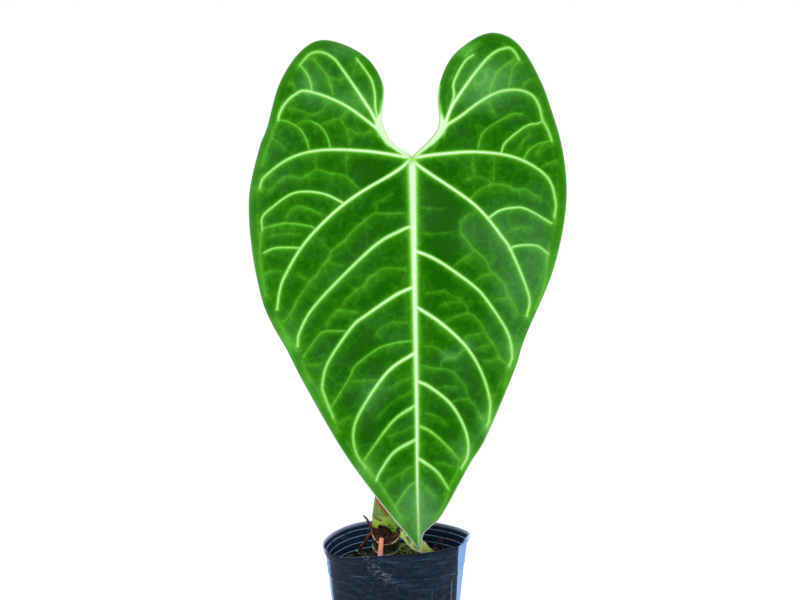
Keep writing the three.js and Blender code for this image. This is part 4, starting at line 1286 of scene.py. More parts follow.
@dataclass(frozen=True)
class PotFinish:
    """Navy-black soft plastic, a little dusty, with painted highlights and painted blue sheen seen edge on.
    """

    plastic: Colour = srgb(18, 29, 43)
    inside: Colour = srgb(14, 28, 52)
    crest: Colour = srgb(128, 164, 208)
    # Colour of the painted highlight on the back half of the lip.
    rim: Colour = srgb(188, 200, 244)
    painted_sheen: Colour = srgb(114, 152, 202)
    dust: Colour = srgb(128, 138, 144)

    def material(self) -> bpy.types.Material:
        """The finish as a material."""
        paint = Paint("pot_plastic", 0.3, 0.02)
        crest, lip, outer = paint.mark("crest"), paint.mark("lip"), paint.mark("outer")
        across, depth, height = (paint.axis(name) for name in "XYZ")
        streaks = paint.grain(60, 4, paint.stretched((1, 1, 6)))
        fine = paint.grain(600, 3)
        front = depth.step(0, -20)
        colour = paint.mix(outer, self.inside, self.plastic)
        colour = paint.mix(streaks.step(0.45, 0.8) * 0.07, colour, self.crest)
        # Painted highlights on the lit edges of the rings, broken up by streaks.
        painted_ring_highlight = streaks.step(0.25, 0.45) * (1 - outer) + (streaks.step(0.48, 0.68) * 0.24 + 0.06) * outer
        colour = paint.mix(crest * painted_ring_highlight, colour, self.crest)
        # Painted highlights along two upright folds at the front right, below the band.
        painted_crease_highlight = across.near(43.2, 0.8) * height.step(81, 76) * 0.25
        painted_crease_highlight = painted_crease_highlight + across.near(27.4, 0.7) * height.step(80, 72) * 0.1
        painted_crease_highlight = painted_crease_highlight * height.step(36, 60) * front * outer
        colour = paint.mix(painted_crease_highlight, colour, self.crest)
        smudge = paint.grain(260, 5, paint.stretched((1, 1, 2.2)), 0.7).step(0.45, 0.64)
        place = across.near(-14, 17) * (height + across * 0.6).near(82.5, 9) * front
        colour = paint.mix(smudge * (place * 0.5 + 0.05), colour, self.dust)
        # Painted blue reflection on the outside where the wall is seen edge on, from how far its level normal
        # faces away.
        normal = paint.add("ShaderNodeNewGeometry", {}, {}, "Normal")
        level = paint.add("ShaderNodeVectorMath", {"operation": "MULTIPLY"}, {0: normal, 1: (1, 1, 0)}, 0)
        level = paint.add("ShaderNodeVectorMath", {"operation": "NORMALIZE"}, {0: level}, 0)
        facing = paint.add("ShaderNodeLayerWeight", {}, {"Blend": 0.5, "Normal": level}, "Facing")
        colour = paint.mix(facing.step(0.7, 0.77) * outer * 0.95, colour, self.painted_sheen)
        # Painted pale highlight along the lip's back half, strongest at its sides.
        colour = paint.mix(lip * (1 - front) * (0.95 - depth.step(10, 40) * 0.45), colour, self.rim)
        rough = 0.27 + streaks * 0.14 + fine * 0.05
        return paint.finish(colour, rough, fine * 0.4 + streaks, 0.1)


@dataclass
class Pot:
    """Soft nursery pot: a ringed band under a turned rim, and a wall that has gone out of round."""

    rim_radius: float = 60.3
    height: float = 100.0
    taper: float = 0.133
    wall: float = 1.0
    floor: float = 1.4
    lip: float = 0.7
    band: float = 23.0
    band_step: float = 0.35
    rings: int = 4
    pitch: float = 5.3
    first_ring: float = 1.4
    relief: float = 0.4
    finish: PotFinish = field(default_factory=PotFinish)

    @staticmethod
    def soft(point: Vector) -> Vector:
        """Where a point of the true round pot, or of anything inside it, lies in the soft one.

        Args:
            point: Place in the true pot, in metres.

        Returns:
            Place in the soft pot.
        """
        point = Pot._folded(point)
        radius, angle = math.hypot(point.x, point.y), math.atan2(point.y, point.x)
        give = smooth(point.z / MM, 15, 100)
        push = math.sin(3 * angle) - math.cos(3 * angle) - 2.5 * math.sin(2 * angle)
        lift = 1.5 + 4.7 * math.cos(angle) - 2.2 * math.sin(2 * angle + 0.63)
        lift += 2.7 * max(0.0, math.cos(angle + 1.95)) ** 3
        for centre, width, high in ((8, 16, 0.6), (-28, 14, -2.0), (-137, 20, -1.6), (125, 25, 1.2)):
            lift += high * math.exp(-(((math.degrees(angle) - centre) / width) ** 2))
        reach = radius * (1 + give * push / 60)
        return Vector((reach * math.cos(angle), reach * math.sin(angle), point.z + give * lift * MM))

    @staticmethod
    def _folded(point: Vector) -> Vector:
        """Adds the upright folds, the flat facet at the right and the flared sides of the rim.

        Args:
            point: Place in the true pot.

        Returns:
            Place with the folds.
        """
        angle, z = math.degrees(math.atan2(point.y, point.x)), point.z / MM
        radius = math.hypot(point.x, point.y) / MM
        push = 0.0
        folds = ((-41, 2.2, 0.5), (-46, 4, -0.6), (-61, 3, 0.4), (-66, 4, -0.3), (-120, 5, -0.4))
        for centre, width, height in folds:
            push += height * math.exp(-(((angle - centre) / width) ** 2))
        push *= (1 - smooth(z, 76, 84)) * smooth(z, 5, 30)
        left, right = (max(0.0, turn * math.cos(math.radians(angle))) ** 6 for turn in (-1, 1))
        flare = smooth(z, 90, 98.5)
        push += left * (float(np.interp(z, [0, 30, 60, 90, 100], [0, 0.5, 0.7, -1.1, -1.4])) + 2.3 * flare)
        push += right * 1.8 * flare
        middle = float(np.interp(z, [40, 58, 98], [-9, -12.9, -18.2]))
        half = float(np.interp(z, [20, 58, 98], [0, 14.9, 20.3]))
        away = min(abs(angle - middle), half)
        reach = math.cos(math.radians(half)) / math.cos(math.radians(away)) + push / max(radius, 1.0)
        reach = 1 + (reach - 1) * smooth(radius, 20, 40)
        return Vector((point.x * reach, point.y * reach, point.z))

    def wall_radius(self, z: float) -> float:
        """Radius of the straight wall at a height, in millimetres."""
        straight = self.rim_radius - self.lip - self.taper * (self.height - z)
        return straight - (self.band_step if z < self.height - self.band else 0)

    def _outside(self) -> list[tuple[float, float]]:
        """Profile of the outside from the foot to the lip.

        Returns:
            Radius and height of each point.
        """
        foot = self.height - self.band
        profile = [(self.wall_radius(z), z) for z in (3, 12, 24, 36, 48, 58, 66, 72, foot - 2.4)]
        profile += [(self.wall_radius(foot - 1.2), foot - 1.4), (self.wall_radius(foot), foot - 0.3)]
        profile.append((self.wall_radius(foot) + 0.1, foot + 0.1))
        for i in range(self.rings):
            middle = foot + self.first_ring + i * self.pitch
            for part, rise in ((-0.8, 0), (-0.55, 0), (-0.22, 1), (0.22, 1), (0.55, 0), (0.8, 0), (2.65, 0)):
                z = middle + part
                profile.append((self.wall_radius(z) + rise * self.relief, z))
        return profile

    def build(self) -> bpy.types.Object:
        """Builds and dresses the pot.

        Returns:
            The pot.
        """
        outside = self._outside()
        foot = self.wall_radius(0)
        top = self.wall_radius(self.height)
        inside = [(r - self.wall, z) for r, z in reversed(outside)]
        rim = self.rim_radius
        lip = [(top, 97.8), (top, 98.4), (top + 0.2, 98.7), (rim - 0.9, 98.9), (rim - 0.6, 99.2),
               (rim - 0.6, 99.7), (rim - 0.8, 99.95), (rim - 1.1, 100), (top - 0.4, 100), (top - 0.8, 99.8),
               (top - self.wall, 99.3)]
        profile = [(0, 0.9), (10, 0.9), (foot - 6, 0.9), (foot - 4.2, 0.6), (foot - 3, 0), (foot - 1.4, 0.15),
                   (foot - 0.7, 0.7), (foot - 0.2, 1.6)]
        floor = [(foot - 1.5, self.floor + 0.6), (foot - 2.4, self.floor), (10, self.floor + 0.6),
                 (0, self.floor + 0.6)]
        obj = Bench.turned("pot_visual", [*profile, *outside, *lip, *inside, *floor], 216)
        self._drain(obj)
        Bench.keep(obj, "crest", self._crest)
        Bench.keep(obj, "lip", lambda v: smooth(v.co.z / MM, 98.0, 98.4))
        Bench.keep(obj, "outer", lambda v: float(self._is_outer(v)))
        Bench.shape(obj, self.soft)
        return Bench.done(obj, self.finish.material(), "pot_plastic", ["pot"], 35)

    def _drain(self, obj: bpy.types.Object) -> None:
        """Cuts the drain holes through the floor."""
        pieces = []
        for i in range(8):
            turn = (i + 0.5) / 8 * 2 * math.pi
            Bench.clear()
            place = (31 * MM * math.cos(turn), 31 * MM * math.sin(turn), 0)
            bpy.ops.mesh.primitive_cylinder_add(vertices=24, radius=4 * MM, depth=8 * MM, location=place)
            bpy.ops.object.transform_apply(location=True)
            pieces.append(bpy.context.object)
        cutter = Bench.join("drain_cutter", pieces)
        Bench.modify(obj, "BOOLEAN", operation="DIFFERENCE", solver="EXACT", object=cutter)
        bpy.data.objects.remove(cutter)

    def _is_outer(self, vertex: bpy.types.MeshVertex) -> bool:
        """Whether a point is on the outside of the wall."""
        return vertex.co.xy.length / MM > self.wall_radius(vertex.co.z / MM) - self.wall / 2

    def _crest(self, vertex: bpy.types.MeshVertex) -> float:
        """1 where highlights are painted on the lit edges of the rings, 0 between them, less on the outside's
        upper rings.
        """
        above = vertex.co.z / MM - (self.height - self.band) - self.first_ring
        ring = min(max(round(above / self.pitch), 0), self.rings - 1)
        outer = self._is_outer(vertex)
        away = above - ring * self.pitch - (0.25 if outer else -0.25)
        return max(0.0, 1 - abs(away) / 0.45) * (0.65 if outer and ring else 1.0)


@dataclass(frozen=True)
class MixFinish:
    """Wet bark and fibre, nearly black."""

    dark: Colour = srgb(8, 7, 7)
    brown: Colour = srgb(32, 24, 16)
    green: Colour = srgb(30, 40, 18)

    def material(self) -> bpy.types.Material:
        """The finish as a material."""
        paint = Paint("potting_mix", 0.9, 0.1)
        lumps = paint.cells(380)
        crumbs = paint.grain(900, 4, roughness=0.7)
        colour = paint.mix(lumps.step(0.15, 0.7), self.brown, self.dark)
        colour = paint.mix(paint.grain(120, 3).step(0.55, 0.7) * 0.5, colour, self.green)
        return paint.finish(colour, 0.85 + crumbs * 0.1, crumbs * 0.6 + lumps, 0.9)


@dataclass(frozen=True)
class BitsFinish:
    """One colour of small loose bits, darker in parts."""

    name: str
    light: Colour
    dark: Colour
    roughness: float = 0.85

    def material(self) -> bpy.types.Material:
        """The finish as a material."""
        paint = Paint(self.name, self.roughness, 0.3)
        patches = paint.grain(260, 4, roughness=0.65)
        colour = paint.mix(patches.step(0.35, 0.65), self.dark, self.light)
        return paint.finish(colour, None, paint.grain(1500, 3), 0.25)


@dataclass
class PottingMix:
    """The dark mix with its crumbs, bark chips, fibres and perlite grains."""

    level: float = 79.0
    tilt: float = 0.08
    chips: int = 380
    grains: int = 46
    reach: float = 50.0
    moss: tuple[float, float, float, float] = (4.0, 37.0, 15.0, 12.0)
    shown: tuple[tuple[float, float], ...] = ((-27.3, 35.7), (-28.7, 25), (31.8, 40.3), (-35, 45))

    def under_moss(self, x: float, y: float) -> float:
        """1 on the moss and around the stem's back, 0 in the open mix."""
        mx, my, wide, deep = self.moss
        return 1 - smooth(math.hypot((x - mx) / wide, (y - my) / deep), 1.05, 1.35)

    def surface(self, x: float, y: float) -> float:
        """Height of the mix at a place, in millimetres."""
        loose = 1 - self.under_moss(x, y)
        spot = Vector((x / 6, y / 6, 1.3))
        crumbs = noise.noise(spot) * 1.3 + noise.noise(spot * 3.1) * 0.7
        return self.level + loose * (self.tilt * max(0.0, x) + crumbs)

    def build(self) -> list[bpy.types.Object]:
        """Builds and dresses the mix and its loose bits.

        Returns:
            The pieces.
        """
        pot = Pot()
        gap = pot.wall + 0.4
        side = [(0, 1.8), (pot.wall_radius(4) - gap - 1.6, 1.8)]
        side += [(pot.wall_radius(z) - gap, z) for z in (5, 20, 36, 50, 64, 72, 76)]
        rim = pot.wall_radius(76) - gap
        top = [(rim - i * rim / 44, 79) for i in range(1, 45)]
        obj = Bench.turned("potting_mix_visual", [*side, *top], 150)
        Bench.shape(obj, self._settled)
        body = Bench.done(obj, MixFinish().material(), "mix", ["potting_mix"], 50)
        bark = self._scatter("bark_bits", self._chip(), self.chips, (0.5, 1.5), 5, 0.2)
        Bench.done(bark, BitsFinish("bark", srgb(88, 80, 46), srgb(12, 14, 9)).material(), "mix", (), 25)
        perlite = self._scatter("perlite_grains", self._grain(), self.grains, (0.5, 1.0), 9, 0.3, self.shown)
        finish = BitsFinish("perlite", srgb(214, 210, 200), srgb(150, 140, 125))
        Bench.done(perlite, finish.material(), "mix", (), 40)
        return [body, bark, perlite]

    def _settled(self, point: Vector) -> Vector:
        """Lays a point of the turned mix into the soft pot, with its crumbs.

        Args:
            point: Place in the true pot.

        Returns:
            Place in the soft pot.
        """
        if point.z / MM < 78.9:
            return Pot.soft(point)
        edge = smooth(math.hypot(point.x, point.y) / MM, 46, 54)
        rim = Pot.soft(Vector((point.x, point.y, 76 * MM)))
        return Vector((rim.x, rim.y, self.surface(rim.x / MM, rim.y / MM) * MM - edge * 0.5 * MM))

    @staticmethod
    def _chip() -> bpy.types.Object:
        """A chip of bark, bevelled and bent out of true."""
        Bench.clear()
        bpy.ops.mesh.primitive_cube_add(size=2 * MM)
        chip = bpy.context.object
        bpy.ops.object.mode_set(mode="EDIT")
        bpy.ops.transform.resize(value=(2.0, 0.9, 0.34))
        bpy.ops.mesh.subdivide(number_cuts=1)
        bpy.ops.object.mode_set(mode="OBJECT")
        Bench.ruffle(chip, 0.9, 1.1, 2.0)
        return chip

    @staticmethod
    def _grain() -> bpy.types.Object:
        """A rounded perlite grain."""
        Bench.clear()
        bpy.ops.mesh.primitive_ico_sphere_add(subdivisions=2, radius=1.3 * MM)
        grain = bpy.context.object
        Bench.ruffle(grain, 0.5, 1.0, 5.0)
        return grain

    def _scatter(self, name: str, model: bpy.types.Object, count: int, sizes: tuple[float, float],
                 seed: int, sink: float, first: Pairs = ()) -> bpy.types.Object:
        """Copies of a bit, strewn over the open mix.

        Args:
            name: Name of the result.
            model: The bit that is copied, which is then removed.
            count: Number of copies.
            sizes: Smallest and largest scale.
            seed: Seed of the draws.
            sink: How far a bit sinks in, in millimetres.
            first: Places that have one for certain.

        Returns:
            The bits as one object.
        """
        draw = random.Random(seed)
        copies = []
        while len(copies) < count:
            angle, out = draw.uniform(0, 2 * math.pi), self.reach * math.sqrt(draw.random())
            x, y = out * math.cos(angle), out * math.sin(angle)
            if len(copies) < len(first):
                x, y = first[len(copies)]
            size = draw.uniform(*sizes)
            turn = Euler((draw.uniform(-0.5, 0.5), draw.uniform(-0.5, 0.5), draw.uniform(0, 6.28)))
            near_stem = math.hypot(x + 10, y - 5) < 13
            if near_stem or self.under_moss(x, y) > 0:
                continue
            height = self.surface(x, y) + size * 0.5 - sink
            place = Matrix.Translation(Vector((x, y, height)) * MM)
            copies.append(Bench.copy_at(model, place @ turn.to_matrix().to_4x4() @ Matrix.Scale(size, 4)))
        bpy.data.objects.remove(model)
        return Bench.join(name, copies)


@dataclass(frozen=True)
class MossFinish:
    """Deep green moss with yellow-green tips."""

    deep: Colour = srgb(12, 22, 6)
    green: Colour = srgb(52, 82, 20)
    tip: Colour = srgb(226, 240, 140)

    def material(self) -> bpy.types.Material:
        """The finish as a material."""
        paint = Paint("moss", 0.9, 0.2)
        patches = paint.grain(300, 3)
        tips = paint.mark("tip")
        colour = paint.mix(patches.step(0.35, 0.65), self.deep, self.green)
        colour = paint.mix(tips * paint.grain(600, 2).step(0.43, 0.55), colour, self.tip)
        return paint.finish(colour, None, paint.grain(1800, 3), 0.3)


@dataclass
class Moss:
    """A lumpy cushion of moss behind the stem, covered with small leaves."""

    x: float = 4.0
    y: float = 37.0
    across: float = 15.0
    deep: float = 12.0
    high: float = 7.0
    base: float = 79.3
    leaves: int = 1300

    def _dome(self, out: float, angle: float) -> Vector:
        """Place on the cushion.

        Args:
            out: 0 at the edge and 1 at the top.
            angle: Direction from the middle.

        Returns:
            The place in metres.
        """
        reach = math.cos(out * math.pi / 2) * (1 + 0.07 * math.sin(5 * angle + 1))
        x = self.x + self.across * reach * math.cos(angle)
        y = self.y + self.deep * reach * math.sin(angle)
        lump = 1 + 0.35 * noise.noise(Vector((x / 4, y / 4, 0.4)))
        return Vector((x, y, self.base + self.high * math.sin(out * math.pi / 2) * lump)) * MM

    def build(self) -> bpy.types.Object:
        """Builds and dresses the moss.

        Returns:
            The moss.
        """
        Bench.clear()
        bpy.ops.mesh.primitive_uv_sphere_add(segments=64, ring_count=40, radius=1)
        body = bpy.context.object

        def place(point: Vector) -> Vector:
            """Point of the unit ball laid on the cushion or on its flat underside."""
            angle = math.atan2(point.y, point.x)
            out = math.asin(min(1.0, abs(point.z))) / (math.pi / 2)
            spot = self._dome(out, angle)
            return spot if point.z >= 0 else Vector((spot.x, spot.y, self.base * MM))

        Bench.shape(body, place)
        Bench.ruffle(body, 0.9, 2.2, 1.0)
        Bench.keep(body, "tip", lambda v: 0.25)
        draw = random.Random(3)
        Bench.clear()
        bpy.ops.mesh.primitive_cone_add(vertices=4, radius1=0.42 * MM, radius2=0, depth=2.2 * MM)
        leaf = bpy.context.object
        Bench.keep(leaf, "tip", lambda v: smooth(v.co.z / MM, -0.6, 1.1))
        copies = [body]
        for _ in range(self.leaves):
            angle, out = draw.uniform(0, 2 * math.pi), 1 - math.sqrt(draw.random())
            spot = self._dome(max(out, 0.05), angle)
            lean = Vector((math.cos(angle) * (1 - out), math.sin(angle) * (1 - out), 0.5 + out))
            lean += Vector((draw.uniform(-0.4, 0.4), draw.uniform(-0.4, 0.4), 0))
            turn = lean.to_track_quat("Z", "Y").to_matrix().to_4x4()
            size = Matrix.Scale(draw.uniform(0.5, 1.3), 4)
            copies.append(Bench.copy_at(leaf, Matrix.Translation(spot) @ turn @ size))
        bpy.data.objects.remove(leaf)
        obj = Bench.join("moss_visual", copies)
        return Bench.done(obj, MossFinish().material(), "moss", ["moss"], 30)


@dataclass(frozen=True)
class StemFinish:
    """Dark green bark-like skin, with tan scar rims and a brown cup."""

    skin: Colour = srgb(13, 27, 8)
    light: Colour = srgb(48, 62, 34)
    scar: Colour = srgb(198, 164, 130)
    cup: Colour = srgb(22, 12, 9)

    def material(self) -> bpy.types.Material:
        """The finish as a material."""
        paint = Paint("stem", 0.6, 0.2)
        scar, cup = paint.mark("scar"), paint.mark("cup")
        patches = paint.grain(180, 4, roughness=0.6)
        colour = paint.mix(patches.step(0.45, 0.7), self.skin, self.light)
        colour = paint.mix(cup, colour, self.cup)
        colour = paint.mix(scar * paint.grain(400, 3).step(0.3, 0.52), colour, self.scar)
        return paint.finish(colour, None, patches + paint.grain(1200, 2) * 0.5, 0.5)


@dataclass
class Stem:
    """Short thick stem with an old scar low down and a slanting scar cup at its top."""

    x: float = -9.2
    y: float = 5.0
    top: float = 108.0
    slant: float = 0.77

    def scar_height(self, y: float) -> float:
        """Height of the scar's slanting plane at a distance back, in millimetres."""
        return self.top + self.slant * (y - self.y)

    def build(self) -> bpy.types.Object:
        """Builds and dresses the stem.

        Returns:
            The stem.
        """
        profile = [(0, 64), (9.2, 64), (10, 65), (10.4, 72), (10.6, 80), (10.8, 88), (10.8, 92.6),
                   (10.9, 93.4), (11.5, 93.9), (11.9, 94.5), (11.5, 95.1), (11, 95.9), (11, 98),
                   (11.1, 100.6), (11.4, 103.6), (11.8, 105.6), (12.0, 106.7), (12.2, 107.2),
                   (12.4, 107.7), (12.4, 108.2), (12.1, 108.4), (11.8, 108.2), (11.5, 107.2),
                   (10.6, 105.6), (8, 104.6), (4, 104.2), (0, 104.2)]
        obj = Bench.turned("stem_visual", profile, 72)
        Bench.keep(obj, "scar", self._scar)
        Bench.keep(obj, "cup", lambda v: float(v.co.z / MM > 104 and v.co.xy.length / MM < 11.7))
        Bench.shape(obj, self._slanted)
        Bench.ruffle(obj, 0.5, 5.0, 3.0)
        return Bench.done(obj, StemFinish().material(), "stem", ["stem"], 50)

    @staticmethod
    def _scar(vertex: bpy.types.MeshVertex) -> float:
        """1 on the rim of the cup and on the ridge of the old scar."""
        radius, z = vertex.co.xy.length / MM, vertex.co.z / MM
        cup_rim = smooth(z, 106.9, 107.5) * smooth(radius, 11.4, 11.7)
        ridge = 0.8 * max(0.0, 1 - abs(z - 94.5) / (0.65 + 1.2 * smooth(-vertex.co.x / MM, 4, 9)))
        return max(cup_rim, ridge)

    def _slanted(self, point: Vector) -> Vector:
        """Slants the turned stem and puts it in its place.

        Args:
            point: Place on the turned stem.

        Returns:
            Its place in the pot.
        """
        z = point.z / MM
        slants = [0, 0.1, 0.38, 0.42, self.slant, self.slant]
        rise = float(np.interp(z, [64, 84, 93.5, 95.5, 103, 120], slants)) * point.y
        return Vector((point.x + self.x * MM, point.y + self.y * MM, point.z + rise))


@dataclass
class ScarFibres:
    """Torn brown fibres that fill the scar cup: a shaggy plug and many strands."""

    stem: Stem = field(default_factory=Stem)
    strands: int = 190
    light_strands: int = 56

    def build(self) -> list[bpy.types.Object]:
        """Builds and dresses the fibres.

        Returns:
            The pieces.
        """
        tilt = Matrix.Rotation(math.atan(self.stem.slant), 4, "X")
        centre = Vector((self.stem.x, self.stem.y - 0.6, self.stem.top - 0.6)) * MM
        plug = self._lump(Matrix.Translation(centre) @ tilt, (11.6, 14.0, 2.6), 1.6, 1.8, 4.0)
        heap = Matrix.Translation(Vector((-9.6, 7.2, 108.2)) * MM)
        mound = self._lump(heap, (8.6, 7.6, 6.4), 2.2, 1.7, 2.0)
        draw = random.Random(12)
        dark = [plug, mound] + [self._strand(draw) for _ in range(self.strands)]
        light = [self._strand(draw, True) for _ in range(self.light_strands)]
        shaggy = Bench.join("scar_fibres", dark)
        pale = Bench.join("scar_splinters", light)
        dark_finish = BitsFinish("fibre_dark", srgb(92, 52, 40), srgb(6, 4, 5))
        pale_finish = BitsFinish("fibre_pale", srgb(208, 172, 156), srgb(104, 66, 52))
        return [
            Bench.done(shaggy, dark_finish.material(), "fibre", ["sheath_fibres"], 30),
            Bench.done(pale, pale_finish.material(), "fibre", (), 30),
        ]

    def _strand(self, draw: random.Random, right: bool = False) -> bpy.types.Object:
        """One torn strand in the cup.

        Args:
            draw: Source of random draws.
            right: Whether it is one of the pale ones, which lie at the right and in the middle.

        Returns:
            The strand.
        """
        angle = draw.uniform(-0.9, 0.35) if right else draw.uniform(math.pi * 0.95, math.pi * 2.1)
        out = draw.uniform(0.3, 0.92) * 11.5
        x, y = out * math.cos(angle), out * math.sin(angle)
        start = Vector((self.stem.x + x, self.stem.y + y, self.stem.scar_height(self.stem.y + y) - 0.6))
        if not right and draw.random() < 0.45:
            start = Vector((draw.uniform(-16.5, -4), draw.uniform(-2.4, 0.5), draw.uniform(105, 113.5)))
        way = Vector((draw.uniform(-1, 1), draw.uniform(-1, 0.4), draw.uniform(-0.5, 1.1)))
        way = way.normalized() * draw.uniform(2.0, 5.0)
        bend = Vector((draw.uniform(-1, 1), draw.uniform(-1, 1), draw.uniform(-0.6, 0.8)))
        thick = draw.uniform(0.18, 0.5)
        middle = start + way * 0.5 + bend * 0.6
        stations = [(*start, thick), (*middle, thick), (*(start + way), thick * 0.3)]
        return Bench.tube("strand", stations, 6, 3)

    @staticmethod
    def _lump(place: Matrix, size: Sequence[float], *ruffles: float) -> bpy.types.Object:
        """A ruffled ball.

        Args:
            place: Where its middle goes and how it is turned.
            size: Its half sizes in millimetres.
            *ruffles: What Bench.ruffle takes after the object.

        Returns:
            The ball.
        """
        Bench.clear()
        bpy.ops.mesh.primitive_uv_sphere_add(segments=40, ring_count=20, radius=1)
        ball = bpy.context.object
        ball.data.transform(place @ Matrix.Diagonal((*(half * MM for half in size), 1)))
        Bench.ruffle(ball, *ruffles)
        return ball


@dataclass(frozen=True)
class SheathFinish:
    """Yellow-green sheath with brown and reddish patches and a painted silvery highlight."""

    fresh: Colour = srgb(148, 184, 50)
    lime: Colour = srgb(84, 132, 20)
    grey: Colour = srgb(86, 118, 54)
    painted_highlight: Colour = srgb(158, 180, 146)
    red: Colour = srgb(150, 72, 34)
    brown: Colour = srgb(78, 50, 30)
    fold: Colour = srgb(176, 190, 120)

    def material(self) -> bpy.types.Material:
        """The finish as a material."""
        paint = Paint("leaf_sheath", 0.42, 0.2)
        x, z, edge = paint.axis("X"), paint.axis("Z"), paint.mark("edge")
        streaks = paint.grain(300, 3, paint.stretched((1, 1, 0.3)))
        blots = paint.grain(420, 4, roughness=0.65)
        colour = paint.mix((streaks + blots - 1) * 2.5 + 0.4 + x.step(-2, -12) * 0.6, self.lime, self.fresh)
        colour = paint.mix((z - x * 0.15).step(120.8, 123.8) * 0.8, colour, self.grey)
        # Painted silvery highlight in a narrow slanting band near the sheath's left edge.
        painted_sheen = (x + (z - 131) * 0.17).near(-15.6, 1.5) * z.step(119, 122) * z.step(134, 130)
        colour = paint.mix(painted_sheen * 0.45 * blots.step(0.35, 0.55), colour, self.painted_highlight)
        band = (z + x * 1.03 + blots * 2).near(117.6, 6.0) * z.step(116, 119)
        colour = paint.mix(band, colour, self.red)
        patch = (z + x * 0.35 + blots * 2.0).near(113.7, 2.3) * x.step(-11, -13.5)
        colour = paint.mix(patch * 0.9, colour, self.brown)
        fold = (z - x * 0.6 + blots).near(124.4, 1.1) * x.step(-17, -15) * x.step(-5, -8)
        colour = paint.mix(fold * 0.8, colour, self.fold)
        colour = paint.mix(edge * 0.8, colour, self.brown)
        return paint.finish(colour, None, streaks, 0.2)


@dataclass
class LeafSheath:
    """Young sheath round the foot of the stalk, with torn teeth along its foot."""

    stem: Stem = field(default_factory=Stem)
    top: float = 152.0
    thickness: float = 0.7
    torn: tuple[tuple[float, float], ...] = (
        (-11.3, 109), (-9.6, 110.8), (-8.9, 109.6), (-8.2, 111.6), (-7.2, 109.2), (-6.2, 112.6),
        (-4.7, 114.2), (-2.6, 112.8), (-0.6, 113.2), (2.2, 111.4), (4.0, 109.2), (5.6, 106.8), (6.9, 105.8),
        (8.2, 107.4), (9.5, 110), (11.3, 109.5),
    )

    def build(self) -> bpy.types.Object:
        """Builds and dresses the sheath.

        Returns:
            The sheath.
        """
        steps, rows = 96, 40
        axis = smooth_line(STALK, 0.5)
        outer = [self._ring(axis, row / rows, steps, 0.0) for row in range(rows + 1)]
        inner = [self._ring(axis, row / rows, steps, self.thickness) for row in range(rows, -1, -1)]
        rings = [*outer, *inner]
        points = [point for ring in rings for point in ring]
        faces = []
        for i in range(len(rings)):
            here, ahead = i * steps, ((i + 1) % len(rings)) * steps
            for j in range(steps):
                k = (j + 1) % steps
                faces.append((here + j, here + k, ahead + k, ahead + j))
        obj = Bench.from_points("leaf_sheath_visual", points, (), faces)
        edge = [smooth(1 - row / rows, 0.96, 1.0) * 0.7 for row in range(rows + 1)]
        edge += edge[::-1]
        Bench.keep_all(obj, "edge", [edge[i // steps] for i in range(len(points))])
        Bench.close_up(obj)
        return Bench.done(obj, SheathFinish().material(), "sheath", ["leaf_sheath"], 60)

    def _ring(self, axis: np.ndarray, part: float, steps: int, inset: float) -> list[Vector]:
        """One ring of the sheath's wall.

        Args:
            axis: Points on the stalk's axis with its radius.
            part: Place between foot and top, from 0 to 1.
            steps: Points in the ring.
            inset: Distance in from the outside.

        Returns:
            The ring's points in metres.
        """
        height = self.stem.top + part * (self.top - self.stem.top)
        at = axis[min(int(np.searchsorted(axis[:, 2], height)), len(axis) - 1)]
        radius = float(np.interp(part, [0, 0.12, 0.35, 0.62, 1], [11.3, 11.4, 9.6, 7.6, 5.3]))
        radius = max(radius - inset, float(at[3]) + 0.1 if inset else 0)
        points = []
        for j in range(steps):
            angle = j / steps * 2 * math.pi
            x, y = at[0] + radius * math.cos(angle), at[1] + radius * math.sin(angle)
            torn = float(np.interp(math.cos(angle) * 11.3, *zip(*self.torn)))
            torn += 0.5 * noise.noise(Vector((angle * 9, 0.3, 0)))
            seat = self.stem.scar_height(y) + 0.4
            foot = seat + (torn - seat) * smooth(-math.sin(angle), 0.0, 0.3)
            points.append(Vector((x, y, foot + part * (self.top - foot))) * MM)
        return points


@dataclass(frozen=True)
class StalkFinish:
    """Green stalk with fine pale flecks, paler at the knee under the blade."""

    green: Colour = srgb(78, 128, 52)
    pale: Colour = srgb(132, 176, 84)

    def material(self) -> bpy.types.Material:
        """The finish as a material."""
        paint = Paint("leaf_stalk", 0.5, 0.4)
        flecks = paint.cells(900).step(0.25, 0.1) * 0.5
        knee = paint.axis("Z").step(372, 404)
        streaks = paint.grain(260, 3, paint.stretched((1, 1, 0.12)))
        colour = paint.mix(streaks * 0.4 + flecks * 0.4 + knee * 0.6, self.green, self.pale)
        return paint.finish(colour, None, streaks, 0.2)


@dataclass
class LeafStalk:
    """The leaf's stalk, from the sheath up to its swollen knee behind the blade."""

    def build(self) -> bpy.types.Object:
        """Builds and dresses the stalk.

        Returns:
            The stalk.
        """
        stations = [tuple(p) for p in smooth_line(STALK, 18)]
        obj = Bench.tube("leaf_stalk_visual", stations, 24, 6)
        Bench.ruffle(obj, 0.16, 9.0, 2.0)
        return Bench.done(obj, StalkFinish().material(), "stalk", ["leaf_stalk"], 40)


@dataclass(frozen=True)
class RootFinish:
    """Skin of a root, streaked along its length."""

    name: str
    light: Colour
    dark: Colour
    tip: Colour
    roughness: float = 0.6

    def material(self) -> bpy.types.Material:
        """The finish as a material."""
        paint = Paint(self.name, self.roughness, 0.35)
        streaks = paint.grain(420, 4, paint.stretched((1, 1, 0.35)))
        colour = paint.mix(streaks.step(0.35, 0.7), self.light, self.dark)
        colour = paint.mix(paint.mark("tip"), colour, self.tip)
        return paint.finish(colour, None, streaks, 0.25)


